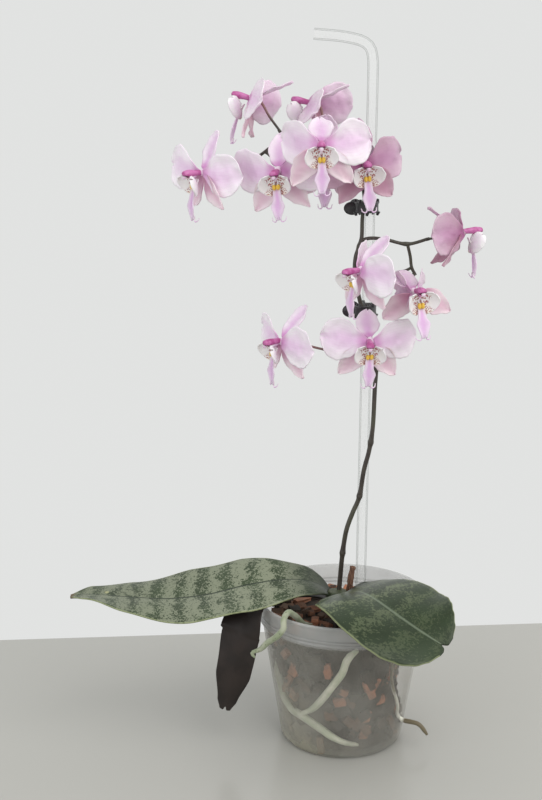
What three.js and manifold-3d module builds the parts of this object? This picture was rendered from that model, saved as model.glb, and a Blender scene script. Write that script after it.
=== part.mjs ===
// A moth orchid in a clear plastic pot: bark, mottled leaves, roots, a staked flower
// spike and twelve blooms. Millimetres, +Z up, the pot's foot on z = 0, blooms facing -Y.
import * as THREE from 'three';
import { mergeVertices } from 'three/addons/utils/BufferGeometryUtils.js';
import Module from 'manifold-3d';

const wasm = await Module();
wasm.setup();

// ---------------------------------------------------------------- driving dimensions
const POT_RIM_DIAMETER = 120;
const POT_HEIGHT = 103;
const POT_WALL = 1.2;
const POT_FLANGE_HEIGHT = 16;
const POT_WALL_TOP_RADIUS = 56.3;
const POT_FOOT_RADIUS = 43.2;
const NOTCH_COUNT = 5;
const NOTCH_WIDTH = 16;
const NOTCH_HEIGHT = 2.6;
const SIDE_HOLE = { angle: -27, z: 19, radius: 3.6 };

const MEDIUM_TOP = 90;
const MEDIUM_BOTTOM = 2.6;
const GAP = 0.35;

const STAKE_DIAMETER = 7.3;
const STAKE_WALL = 1;
const STAKE_TOP = 477;
const STEM_RADIUS = 1.6;
const PEDICEL_RADIUS = 0.9;

const BLADE = 0.8;
const PETAL = { length: 29, width: 26 };
const COLUMN = { length: 11, radius: 2.3 };
const LIP = { lobeLength: 13.5, lobeWidth: 11.5, midLength: 25, midWidth: 9 };

// ---------------------------------------------------------------- helpers
const rad = THREE.MathUtils.degToRad;
const vec = (x, y, z) => new THREE.Vector3(x, y, z);
const path = (points) => new THREE.CatmullRomCurve3(points.map((p) => vec(...p)));

function solidOf(geometry) {
  const bare = geometry.clone();
  bare.deleteAttribute('normal');
  bare.deleteAttribute('uv');
  const merged = mergeVertices(bare, 1e-4);
  const build = (triVerts) => new wasm.Manifold(new wasm.Mesh({
    numProp: 3,
    vertProperties: new Float32Array(merged.attributes.position.array),
    triVerts,
  }));
  const solid = build(new Uint32Array(merged.index.array));
  return solid.volume() > 0 ? solid : build(new Uint32Array(merged.index.array).reverse());
}

function geometryOf(solid) {
  const mesh = solid.getMesh();
  const geometry = new THREE.BufferGeometry();
  geometry.setAttribute('position', new THREE.BufferAttribute(new Float32Array(mesh.vertProperties), 3));
  geometry.setIndex(new THREE.BufferAttribute(new Uint32Array(mesh.triVerts), 1));
  return geometry;
}

const fuse = (geometries) => geometries.map(solidOf).reduce((all, next) => all.add(next));

// A value read from a short list of [station, value] pairs, eased between them.
function profile(stations) {
  return (at) => {
    const next = Math.max(1, stations.findIndex(([station]) => station >= at));
    const [s0, v0] = stations[next - 1];
    const [s1, v1] = stations[next];
    return THREE.MathUtils.lerp(v0, v1, THREE.MathUtils.smoothstep(at, s0, s1) * 0.5
      + 0.5 * THREE.MathUtils.clamp((at - s0) / (s1 - s0), 0, 1));
  };
}

// A thin closed blade. surface(u, v) is its middle, with u from root to tip and v from
// -1 to 1 across. Both faces share the triangles of one plane grid, so they never cross.
function blade(surface, thicknessAt, rows, columns) {
  const grid = new THREE.PlaneGeometry(2, 1, columns, rows);
  const count = grid.attributes.position.count;
  const step = 1e-3;
  const front = [];
  const back = [];
  for (let i = 0; i < count; i += 1) {
    const v = grid.attributes.position.getX(i);
    const u = grid.attributes.position.getY(i) + 0.5;
    const middle = surface(u, v);
    const along = surface(Math.min(1, u + step), v).sub(surface(Math.max(0, u - step), v));
    const across = surface(u, Math.min(1, v + step)).sub(surface(u, Math.max(-1, v - step)));
    const offset = across.cross(along).normalize().multiplyScalar(thicknessAt(u, v) / 2);
    front.push(...middle.clone().add(offset).toArray());
    back.push(...middle.clone().sub(offset).toArray());
  }
  const index = [];
  for (let i = 0; i < grid.index.count; i += 3) {
    const [a, b, c] = [0, 1, 2].map((k) => grid.index.getX(i + k));
    index.push(a, b, c, a + count, c + count, b + count);
  }
  const rim = [];
  for (let c = 0; c < columns; c += 1) rim.push(c);
  for (let r = 0; r < rows; r += 1) rim.push(r * (columns + 1) + columns);
  for (let c = columns; c > 0; c -= 1) rim.push(rows * (columns + 1) + c);
  for (let r = rows; r > 0; r -= 1) rim.push(r * (columns + 1));
  rim.forEach((a, k) => {
    const b = rim[(k + 1) % rim.length];
    index.push(a, b, a + count, b, b + count, a + count);
  });
  const geometry = new THREE.BufferGeometry();
  geometry.setAttribute('position', new THREE.Float32BufferAttribute([...front, ...back], 3));
  geometry.setIndex(index);
  return geometry;
}

// A cylinder bent through points, with its radius read along it.
function tubeThrough(points, radiusAt, sides) {
  const steps = points.length - 1;
  const geometry = new THREE.CylinderGeometry(1, 1, 1, sides, steps);
  const tangents = points.map((p, i) => points[Math.min(i + 1, steps)].clone()
    .sub(points[Math.max(i - 1, 0)]).normalize());
  const start = Math.abs(tangents[0].y) < 0.9 ? vec(0, 1, 0) : vec(1, 0, 0);
  const normals = [start.sub(tangents[0].clone().multiplyScalar(start.dot(tangents[0]))).normalize()];
  for (let i = 1; i <= steps; i += 1) {
    const carried = normals[i - 1].clone();
    carried.addScaledVector(tangents[i], -carried.dot(tangents[i]));
    normals.push(carried.normalize());
  }
  const position = geometry.attributes.position;
  for (let i = 0; i < position.count; i += 1) {
    const row = Math.round((0.5 - position.getY(i)) * steps);
    const radius = radiusAt(row / steps);
    const binormal = tangents[row].clone().cross(normals[row]);
    const point = points[row].clone()
      .addScaledVector(normals[row], position.getX(i) * radius)
      .addScaledVector(binormal, position.getZ(i) * radius);
    position.setXYZ(i, point.x, point.y, point.z);
  }
  return geometry;
}

function taperedTube(curve, radiusAt, sides, steps) {
  return tubeThrough(curve.getSpacedPoints(steps), radiusAt, sides);
}

// ---------------------------------------------------------------- pot and medium
const RIM_RADIUS = POT_RIM_DIAMETER / 2;
const FLANGE_FOOT = POT_HEIGHT - POT_FLANGE_HEIGHT;
const FOOT_ROUND = 4;

// The wall's outer radius at a height below the flange.
function wallRadius(z) {
  const rise = (z - FOOT_ROUND) / (FLANGE_FOOT - FOOT_ROUND);
  return THREE.MathUtils.lerp(POT_FOOT_RADIUS, POT_WALL_TOP_RADIUS, rise);
}

// A point at an angle round the pot, a given distance inside (+) or outside (-) its wall.
function atWall(angle, z, inset) {
  const radius = wallRadius(z) - inset;
  return [radius * Math.cos(rad(angle)), radius * Math.sin(rad(angle)), z];
}

function lathe(profilePoints, segments) {
  const geometry = new THREE.LatheGeometry(profilePoints.map((p) => new THREE.Vector2(...p)), segments);
  return geometry.rotateX(Math.PI / 2);
}

function potGeometry() {
  const flangeIn = RIM_RADIUS - 1.8;
  const innerFoot = POT_FOOT_RADIUS - POT_WALL - 1;
  const shell = solidOf(lathe([
    [0, 0], [POT_FOOT_RADIUS - FOOT_ROUND, 0],
    [POT_FOOT_RADIUS - 1.2, 1.2], [POT_FOOT_RADIUS, FOOT_ROUND],
    [POT_WALL_TOP_RADIUS, FLANGE_FOOT],
    [POT_WALL_TOP_RADIUS + 2, FLANGE_FOOT + 0.3],
    [POT_WALL_TOP_RADIUS + 2.3, FLANGE_FOOT + 2], [POT_WALL_TOP_RADIUS + 1.5, FLANGE_FOOT + 3],
    [POT_WALL_TOP_RADIUS + 2.5, FLANGE_FOOT + 4.2], [POT_WALL_TOP_RADIUS + 1.7, FLANGE_FOOT + 5.4],
    [RIM_RADIUS - 0.6, POT_HEIGHT - 2.2],
    [RIM_RADIUS, POT_HEIGHT - 1.4], [RIM_RADIUS - 0.4, POT_HEIGHT], [flangeIn, POT_HEIGHT],
    [POT_WALL_TOP_RADIUS + 0.3, FLANGE_FOOT + 4],
    [POT_WALL_TOP_RADIUS - POT_WALL, FLANGE_FOOT - 1],
    [POT_FOOT_RADIUS - POT_WALL, FOOT_ROUND + 0.6], [innerFoot, 2], [0, 1.6],
  ], 30));
  const notch = new THREE.BoxGeometry(12, NOTCH_WIDTH, 2 * NOTCH_HEIGHT);
  notch.translate(POT_FOOT_RADIUS + 3.5, 0, 0);
  let pot = shell;
  for (let i = 0; i < NOTCH_COUNT; i += 1) {
    const turned = notch.clone().rotateZ(rad(-83) + (i * 2 * Math.PI) / NOTCH_COUNT);
    pot = pot.subtract(solidOf(turned));
  }
  const drill = new THREE.CylinderGeometry(SIDE_HOLE.radius, SIDE_HOLE.radius, 14, 12);
  drill.rotateZ(Math.PI / 2).rotateZ(rad(SIDE_HOLE.angle));
  drill.translate(...atWall(SIDE_HOLE.angle, SIDE_HOLE.z, 0));
  return geometryOf(pot.subtract(solidOf(drill)));
}

// A repeatable random number from 0 to 1.
function seeded(seed) {
  let state = seed;
  return () => {
    state = (state * 1664525 + 1013904223) % 4294967296;
    return state / 4294967296;
  };
}

function chip(random, radius, z) {
  const size = [6 + 6 * random(), 4 + 4 * random(), 2.5 + 2.5 * random()];
  const box = new THREE.BoxGeometry(...size);
  box.rotateX(0.7 * (random() - 0.5)).rotateY(0.7 * (random() - 0.5));
  box.rotateZ(Math.PI * random());
  const angle = 2 * Math.PI * random();
  return box.translate(radius * Math.cos(angle), radius * Math.sin(angle), z);
}

function mediumGeometry(cutters) {
  const random = seeded(11);
  const rows = 4;
  const outline = [[0, MEDIUM_BOTTOM]];
  for (let row = 0; row <= rows; row += 1) {
    const z = THREE.MathUtils.lerp(MEDIUM_BOTTOM + 2.4, MEDIUM_TOP - 6, row / rows);
    outline.push([wallRadius(z) - POT_WALL - GAP - 0.2, z]);
  }
  outline.push([wallRadius(MEDIUM_TOP) - 9, MEDIUM_TOP - 1], [20, MEDIUM_TOP], [0, MEDIUM_TOP]);
  const block = lathe(outline, 20);
  const position = block.attributes.position;
  for (let i = 0; i < position.count; i += 1) {
    const [x, y, z] = [position.getX(i), position.getY(i), position.getZ(i)];
    const radius = Math.hypot(x, y);
    const lump = 0.5 + 0.5 * Math.sin(7 * Math.atan2(y, x) + z * 0.31) * Math.cos(z * 0.43);
    const shrink = radius > 30 && z > MEDIUM_BOTTOM + 1 ? 1 - (2.2 * lump) / radius : 1;
    position.setX(i, x * shrink);
    position.setY(i, y * shrink);
  }
  let medium = solidOf(block);
  const chipCount = 10;
  for (let i = 0; i < chipCount; i += 1) {
    medium = medium.add(solidOf(chip(random, 10 + 34 * Math.sqrt(random()), MEDIUM_TOP - 0.6)));
  }
  for (const cutter of cutters) medium = medium.subtract(solidOf(cutter));
  return geometryOf(medium);
}

// ---------------------------------------------------------------- roots
const ROOT_RADIUS = 2.7;
const rootInset = POT_WALL + GAP + ROOT_RADIUS + 0.4;

// Points along the inside of the wall from [angle, height] pairs.
const alongWall = (pairs, inset) => pairs.map(([angle, z]) => atWall(angle, z, inset));

const innerRootPaths = [
  [[-12, -18, 78], ...alongWall([[-76, 86]], rootInset + 10),
    ...alongWall([[-90, 76], [-93, 67], [-101, 56], [-109, 46], [-118, 37], [-127, 31], [-135, 27.5]], rootInset)],
  [[-22, -6, 70], ...alongWall([[-172, 64]], rootInset + 8),
    ...alongWall([[-168, 52], [-166, 40], [-158, 31], [-146, 27.5], [-134, 26.5], [-123, 24],
      [-112, 20], [-101, 15], [-88, 11], [-76, 8.5]], rootInset)],
];
const rootWidth = profile([[0, 0.8], [0.2, 1], [0.8, 1], [1, 0.55]]);

function rootTube(points, radius, sides, steps, swell = 0) {
  return taperedTube(path(points), (t) => (radius + swell) * rootWidth(t), sides, steps);
}

const innerRoots = (swell) => innerRootPaths.map((points) => rootTube(points, ROOT_RADIUS, 5, 13, swell));

const AERIAL_RADIUS = 2.1;
const aerialPath = [
  [-16, -12, 84], [-27, -28, 92], [-34, -36.5, 102], [-38.5, -42.5, 107], [-41.5, -48.5, 105],
  [-42, -52, 99.5], [-46.5, -51.5, 93.7], [-52.5, -49, 88.5], [-57, -47, 83], [-62.5, -46, 79.6], [-60.5, -47, 77],
];
const aerialRoot = (swell) => rootTube(aerialPath, AERIAL_RADIUS, 5, 16, swell);

const THIN_ROOT_RADIUS = 1.2;
const thinInset = POT_WALL + GAP + THIN_ROOT_RADIUS + 0.3;
const thinRootPath = [
  [20, -18, 84], ...alongWall([[-53, 80]], thinInset + 6), ...alongWall([[-52, 70], [-50, 58],
    [-45, 47], [-38, 38], [-31, 28.5], [-27.6, 21.6]], thinInset),
  ...alongWall([[SIDE_HOLE.angle, SIDE_HOLE.z - 0.6]], -0.6), [52, -26, 17.5], [58, -27.5, 10.5],
];
const thinRootWidth = profile([[0, 0.9], [0.75, 1], [0.84, 1.5], [1, 1.3]]);
const thinRoot = (swell) => taperedTube(path(thinRootPath), (t) => THIN_ROOT_RADIUS * thinRootWidth(t)
  + swell, 5, 18);

// ---------------------------------------------------------------- leaves and crown
// A leaf along its midrib. Across it, the blade lies along a heading in plan, tilted by a roll,
// and folds up a little on both sides of the midrib.
function leafGeometry({ midrib, halfWidth, widthAt, headingAt, rollAt, wave, thickness, rows, columns, notch = 0 },
  swell = 0) {
  const curve = path(midrib);
  const surface = (u, v) => {
    const t = THREE.MathUtils.clamp(u, 0, 1);
    const tangent = curve.getTangentAt(t);
    const heading = rad(headingAt(t));
    const side = vec(Math.cos(heading), Math.sin(heading), 0);
    side.addScaledVector(tangent, -side.dot(tangent)).normalize();
    const across = side.applyAxisAngle(tangent, rad(rollAt(t)));
    const lift = across.clone().cross(tangent).normalize();
    lift.multiplyScalar(Math.sign(lift.z + lift.y * 0.3) || 1);
    const reach = (halfWidth * widthAt(t) + swell) * v;
    const fold = 0.16 * Math.abs(reach) - 0.0032 * reach * reach;
    const ripple = wave * v * v * Math.sin(t * 13 + (v > 0 ? 0.8 : 2.6));
    const tipNotch = notch * Math.exp(-v * v * 30) * THREE.MathUtils.smoothstep(t, 0.86, 1);
    return curve.getPointAt(t)
      .addScaledVector(across, reach)
      .addScaledVector(lift, fold + ripple)
      .addScaledVector(tangent, -tipNotch - swell * Math.max(0, 1 - 20 * t));
  };
  const thick = (u, v) => THREE.MathUtils.lerp(thickness, 0.9, v * v) + 2 * swell;
  return blade(surface, thick, rows, columns);
}

const leafLeft = {
  midrib: [[-9, -1, 101], [-14, -3, 108], [-25, -6, 114], [-42, -9, 116], [-66, -11, 113], [-92, -13, 107],
    [-120, -14, 104], [-150, -14, 105.5], [-176, -12, 106.5], [-188, -10, 104.5]],
  halfWidth: 31,
  widthAt: profile([[0, 0.12], [0.12, 0.5], [0.35, 0.98], [0.55, 1], [0.78, 0.72], [0.93, 0.36], [1, 0.05]]),
  headingAt: () => 92,
  rollAt: profile([[0, -4], [0.25, -20], [0.5, -12], [0.8, -6], [1, 0]]),
  wave: 1.6, thickness: 2.2, rows: 16, columns: 6,
};

const leafRight = {
  midrib: [[1, -6, 101], [2, -12, 108], [8, -22, 112.5], [14, -38, 116.7], [22.5, -54.8, 116.8], [33, -70, 114],
    [45.5, -82.6, 109.5], [58.5, -91.5, 104.3]],
  halfWidth: 38,
  widthAt: profile([[0, 0.1], [0.16, 0.76], [0.38, 0.96], [0.56, 1], [0.78, 0.86], [0.92, 0.58], [1, 0.22]]),
  headingAt: () => 223,
  rollAt: profile([[0, 4], [0.3, 0], [0.65, 12], [1, 30]]),
  wave: 1.2, thickness: 2.2, rows: 13, columns: 6, notch: 4,
};

const leafHanging = {
  midrib: [[-9, 4, 97], [-20, 3, 102], [-36, 0, 105], [-51, -9, 106.6], [-63, -20, 101.5], [-70, -26, 88],
    [-74, -28, 66], [-78, -27, 46], [-82, -25, 28]],
  halfWidth: 15,
  widthAt: profile([[0, 0.3], [0.2, 0.75], [0.5, 1], [0.8, 0.8], [0.95, 0.45], [1, 0.25]]),
  headingAt: profile([[0, 90], [0.35, 100], [0.6, 160], [1, 175]]),
  rollAt: () => 0,
  wave: 1.2, thickness: 1.6, rows: 14, columns: 4, notch: 3,
};

const crownWidth = profile([[0, 5], [0.5, 8.5], [1, 8]]);
const crownPath = [[-3, 0, 70], [-4, -1, 88], [-4, -2, 106]];
const crownTube = (swell) => taperedTube(path(crownPath), (t) => crownWidth(t) + swell, 8, 4);

// The crown clasps the feet of the leaves and of the flower spike.
function crownGeometry(clasped) {
  return geometryOf(clasped.reduce((body, held) => body.subtract(solidOf(held)), solidOf(crownTube(0))));
}

// ---------------------------------------------------------------- bloom
const TEPAL_FOOT = 2;
const RECEPTACLE = { front: -1, back: 3.6, radius: 3 };

// A blade that grows along +Z from the bloom's middle and faces -Y, before it is turned.
function tepal({ length, width, widthAt, bendAt, cupAt, wave, phase, rows, columns }) {
  const surface = (u, v) => {
    const half = (width / 2) * widthAt(u);
    const x = half * v;
    const y = bendAt(u) + cupAt(u) * v * v + wave * u * Math.abs(v) * Math.sin(5 * u + phase + 1.3 * v);
    return vec(x, y, length * u);
  };
  return blade(surface, () => BLADE, rows, columns);
}

const petalWidth = profile([[0, 0.15], [0.14, 0.3], [0.4, 0.88], [0.62, 1], [0.84, 0.84], [0.96, 0.46], [1, 0.2]]);
const dorsalWidth = profile([[0, 0.2], [0.2, 0.72], [0.5, 1], [0.78, 0.84], [0.94, 0.46], [1, 0.16]]);
const lateralWidth = profile([[0, 0.24], [0.2, 0.78], [0.45, 1], [0.72, 0.78], [0.88, 0.42], [1, 0.12]]);
const DORSAL = { length: 26, width: 15, widthAt: dorsalWidth };
const LATERAL = { length: 27.5, width: 15.5, widthAt: lateralWidth };

function petal(sideSign, sweep, twist) {
  const geometry = tepal({
    ...PETAL, widthAt: petalWidth, rows: 4, columns: 4, wave: 1.3, phase: 1.1 + sideSign,
    bendAt: (u) => 0.8 * u * u, cupAt: (u) => -1.6 * u,
  });
  geometry.rotateZ(-sideSign * rad(twist)).rotateY(sideSign * rad(88)).rotateZ(sideSign * rad(sweep));
  return geometry.translate(sideSign * TEPAL_FOOT, -0.4, 0);
}

function sepal(size, turn, lean, curl, phase) {
  const geometry = tepal({
    ...size, rows: 4, columns: 2, wave: 0.8, phase,
    bendAt: (u) => curl * u * u, cupAt: (u) => -1.4 * u,
  });
  return geometry.rotateX(-rad(lean)).translate(0, 1.4, TEPAL_FOOT).rotateY(rad(turn));
}

// How a bloom is turned: yaw about Z from facing -Y, then roll and a nod.
const turnOf = ({ pitch, roll, yaw }) => new THREE.Euler(rad(pitch), rad(roll), rad(yaw), 'ZXY');
function tepalsGeometry({ sweep, lean, spread = [143, 143], droop = [6, 6], twist = [0, 0] }) {
  const receptacle = lathe([[0, -RECEPTACLE.back], [1.2, -RECEPTACLE.back], [RECEPTACLE.radius, -0.6],
    [RECEPTACLE.radius - 0.6, -RECEPTACLE.front], [0, -RECEPTACLE.front]], 5);
  receptacle.rotateX(Math.PI / 2);
  return geometryOf(fuse([
    receptacle,
    petal(-1, sweep[0], twist[0]), petal(1, sweep[1], twist[1]),
    sepal(DORSAL, 0, lean, -2, 0.4),
    sepal(LATERAL, -spread[0], droop[0], 1.5, 2), sepal(LATERAL, spread[1], droop[1], 1.5, 0.2),
  ]));
}

function columnGeometry() {
  const curve = path([[0, RECEPTACLE.front - GAP, 0.3], [0, -5, 0.3], [0, -9, -0.2], [0, -1.4 - COLUMN.length, -1.5]]);
  const width = profile([[0, 0.75], [0.25, 0.85], [0.75, 1.2], [0.92, 1.1], [1, 0.55]]);
  return taperedTube(curve, (t) => COLUMN.radius * width(t), 6, 3);
}

const LIP_HEART = vec(0, -3.6, -9);

function lipLobe(sideSign) {
  const widthAt = profile([[0, 0.3], [0.35, 0.9], [0.65, 1], [0.9, 0.7], [1, 0.35]]);
  const geometry = tepal({
    length: LIP.lobeLength, width: LIP.lobeWidth, widthAt, rows: 2, columns: 2, wave: 0.5, phase: 0,
    bendAt: (u) => -3.4 * u * u, cupAt: () => -2,
  });
  geometry.rotateY(sideSign * rad(38)).rotateZ(sideSign * rad(-22));
  return geometry.translate(sideSign * 2.4, LIP_HEART.y + 0.6, LIP_HEART.z - 4);
}

function lipGeometry() {
  const root = vec(0, -2.6, -3.8);
  const midWidth = profile([[0, 0.36], [0.25, 0.6], [0.5, 0.66], [0.66, 1], [0.84, 0.7], [1, 0.36]]);
  const mid = tepal({
    length: LIP.midLength, width: LIP.midWidth, widthAt: midWidth, rows: 4, columns: 2,
    wave: 0, phase: 0, bendAt: (u) => -2.6 * Math.sin(u * 2.6), cupAt: () => -0.8,
  });
  mid.rotateY(Math.PI).translate(root.x, root.y, root.z);
  const tip = root.z - LIP.midLength;
  const tendril = (side) => taperedTube(path([[side * 0.9, -4.3, tip + 1.6], [side * 2.6, -4.4, tip - 1.2],
    [side * 4.6, -3.2, tip + 0.4]]), () => 0.55, 3, 2);
  const callus = new THREE.OctahedronGeometry(2.6, 0).translate(0, LIP_HEART.y - 0.8, LIP_HEART.z);
  return geometryOf(fuse([mid, callus, lipLobe(-1), lipLobe(1), tendril(-1), tendril(1)]));
}

// ---------------------------------------------------------------- flower spike
const stemPath = [[-3, 1, 98], [-2, 1, 112], [-1, 0, 127], [0, -1, 138], [2, -2, 151], [6, -2, 163], [10, -2, 173],
  [13, -4, 194], [16, -5, 207], [18, -6, 222], [19, -6, 250], [19.5, -5, 266], [16, -4, 282], [11.5, -3, 298],
  [8, -3, 310], [5, -3, 324], [5, -3, 337], [8.5, -3, 348], [9, -3, 362], [10, -3, 376], [7, -3, 388],
  [0, -1, 400], [-12, 1, 407], [-27, 1, 411], [-41, -1, 415], [-49, -4, 408], [-60, -6, 400], [-72, -8, 395]];
const branchPath = [[8.5, -3, 348], [14, -5, 349.5], [23, -7, 349], [38, -8, 346], [52, -8, 349.5]];
const twigPath = [[38, -8, 346], [40, -8, 338], [41, -9, 331], [43.5, -10, 326]];
const cutStubPath = [[41, -9, 331], [37, -9, 329], [32, -9, 328]];
const stemNodes = [0.09, 0.2, 0.3, 0.43, 0.52];

// What the crown leaves free round the foot of the stem.
function stemFoot() {
  const points = path(stemPath.slice(0, 3)).getPoints(4);
  points[0].z -= GAP;
  return tubeThrough(points, () => STEM_RADIUS * 1.2 + GAP, 6);
}

// The place and direction in which a pedicel meets the back of a bloom.
function backOf(bloom, distance) {
  const back = vec(0, RECEPTACLE.back + distance, 0).applyEuler(turnOf(bloom));
  return back.add(vec(...bloom.at));
}

function pedicel(bloom, axes) {
  const near = vec(...bloom.from);
  const start = axes.reduce((best, p) => (p.distanceTo(near) < best.distanceTo(near) ? p : best));
  const straight = [backOf(bloom, 0.3 * start.distanceTo(vec(...bloom.at)))];
  const via = bloom.via ? bloom.via.map((p) => vec(...p)) : straight;
  const curve = new THREE.CatmullRomCurve3([start, ...via, backOf(bloom, 3), backOf(bloom, GAP)]);
  return taperedTube(curve, profile([[0, 1.25 * PEDICEL_RADIUS], [1, PEDICEL_RADIUS]]), 4, bloom.via ? 7 : 4);
}

function spikeGeometry(bloomsOnIt) {
  const stem = path(stemPath);
  const stations = Array.from({ length: 35 }, (_, i) => i / 34);
  stemNodes.forEach((t) => stations.push(t - 0.005, t, t + 0.012));
  stations.sort((s, t) => s - t);
  const baseWidth = profile([[0, STEM_RADIUS * 1.15], [0.5, STEM_RADIUS], [1, PEDICEL_RADIUS * 1.2]]);
  const stemWidth = (share) => {
    const t = stations[Math.round(share * (stations.length - 1))];
    return baseWidth(t) + (stemNodes.includes(t) ? 0.8 : 0);
  };
  const stemTube = tubeThrough(stations.map((t) => stem.getPointAt(t)), stemWidth, 5);
  const branch = taperedTube(path(branchPath), () => 1.15, 4, 6);
  const twig = taperedTube(path(twigPath), () => 1.05, 4, 3);
  const stub = taperedTube(path(cutStubPath), () => 1, 4, 2);
  const axes = [...stem.getSpacedPoints(300), ...path(branchPath).getSpacedPoints(60),
    ...path(twigPath).getSpacedPoints(30)];
  return geometryOf(fuse([stemTube, branch, twig, stub,
    ...bloomsOnIt.map((bloom) => pedicel(bloom, axes))]));
}

// ---------------------------------------------------------------- stake and clips
const stakeAxis = (z) => [13 + (2 * (z - 120)) / 340, 6, z];
const stakePath = [stakeAxis(10), stakeAxis(160), stakeAxis(310), stakeAxis(455), [14.6, 6, 463], [12, 6, 470],
  [6, 6, STAKE_TOP - 3.8], [-6, 6, STAKE_TOP - 1.2], [-23, 6, STAKE_TOP]];

function stakeBody(radius, overrun) {
  const points = stakePath.map((p) => vec(...p));
  points[0].z -= overrun;
  points[points.length - 1].x -= overrun;
  return tubeThrough(points, () => radius, 8);
}

function stakeGeometry() {
  const radius = STAKE_DIAMETER / 2;
  return geometryOf(solidOf(stakeBody(radius, 0)).subtract(solidOf(stakeBody(radius - STAKE_WALL, 2))));
}

const CLIP = { height: 7, wall: 1.5, reach: 9.8, breadth: 5.8, lobe: 5.4 };

// A clip round the stem and the stake: an oval band with teeth on its edges and two levers.
function clipGeometry() {
  const band = new THREE.Shape();
  band.absellipse(0, 0, CLIP.breadth + CLIP.wall, CLIP.reach + CLIP.wall, 0, 2 * Math.PI);
  const hole = new THREE.Path();
  hole.absellipse(0, 0, CLIP.breadth, CLIP.reach, 0, 2 * Math.PI);
  band.holes.push(hole);
  const ring = new THREE.ExtrudeGeometry(band, { depth: CLIP.height, bevelEnabled: false, curveSegments: 6 });
  ring.translate(0, 0, -CLIP.height / 2);
  const parts = [ring];
  const teeth = 6;
  for (let i = 0; i < teeth; i += 1) {
    const angle = (2 * Math.PI * (i + 0.5)) / teeth;
    const tooth = new THREE.BoxGeometry(2.2, 2, 3.4);
    tooth.rotateZ(angle);
    tooth.translate((CLIP.breadth + 1) * Math.cos(angle), (CLIP.reach + 1) * Math.sin(angle),
      (i % 2 ? 1 : -1) * (CLIP.height / 2 - 0.4));
    parts.push(tooth);
  }
  for (const side of [-1, 1]) {
    const lever = new THREE.SphereGeometry(CLIP.lobe, 6, 4);
    lever.scale(1, 0.28, 0.8).rotateZ(-side * rad(18));
    lever.translate(-CLIP.breadth - 3.4, side * 2.8, side * 0.8);
    parts.push(lever);
  }
  return geometryOf(fuse(parts));
}

const stubWidth = profile([[0, 2.4], [0.6, 2.8], [1, 1.6]]);
const stubPath = [[5, 12, 84], [5, 8, 98], [5.5, 4, 110], [7, 2, 122]];
const stubGeometry = (swell) => taperedTube(path(stubPath), (t) => stubWidth(t) + swell, 6, 4);

// ---------------------------------------------------------------- group
const plant = new THREE.Group();

function piece(name, geometry, color, roughness, extra = {}) {
  const material = new THREE.MeshStandardMaterial({ color, roughness, metalness: 0, ...extra });
  const mesh = new THREE.Mesh(geometry, material);
  mesh.name = name;
  plant.add(mesh);
  return mesh;
}

piece('pot', potGeometry(), '#c9cbc8', 0.35, { transparent: true, opacity: 0.5 });
piece('roots_in_pot', geometryOf(fuse(innerRoots(0))), '#c8c8aa', 0.6);
piece('root_aerial', aerialRoot(0), '#b4bd9c', 0.6);
piece('root_thin', thinRoot(0), '#d8d8c4', 0.6);
piece('medium', mediumGeometry([...innerRoots(GAP), aerialRoot(GAP), thinRoot(GAP), crownTube(GAP),
  stakeBody(STAKE_DIAMETER / 2 + GAP, GAP), stubGeometry(GAP)]), '#3a2a22', 0.95);
piece('leaf_left', leafGeometry(leafLeft), '#74836a', 0.45);
piece('leaf_right', leafGeometry(leafRight), '#5c7350', 0.45);
piece('leaf_hanging', leafGeometry(leafHanging), '#3c2d2d', 0.5);

piece('dried_stub', stubGeometry(0), '#6b4a34', 0.8);
piece('stake', stakeGeometry(), '#e6ebe8', 0.1, { transparent: true, opacity: 0.35 });

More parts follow.
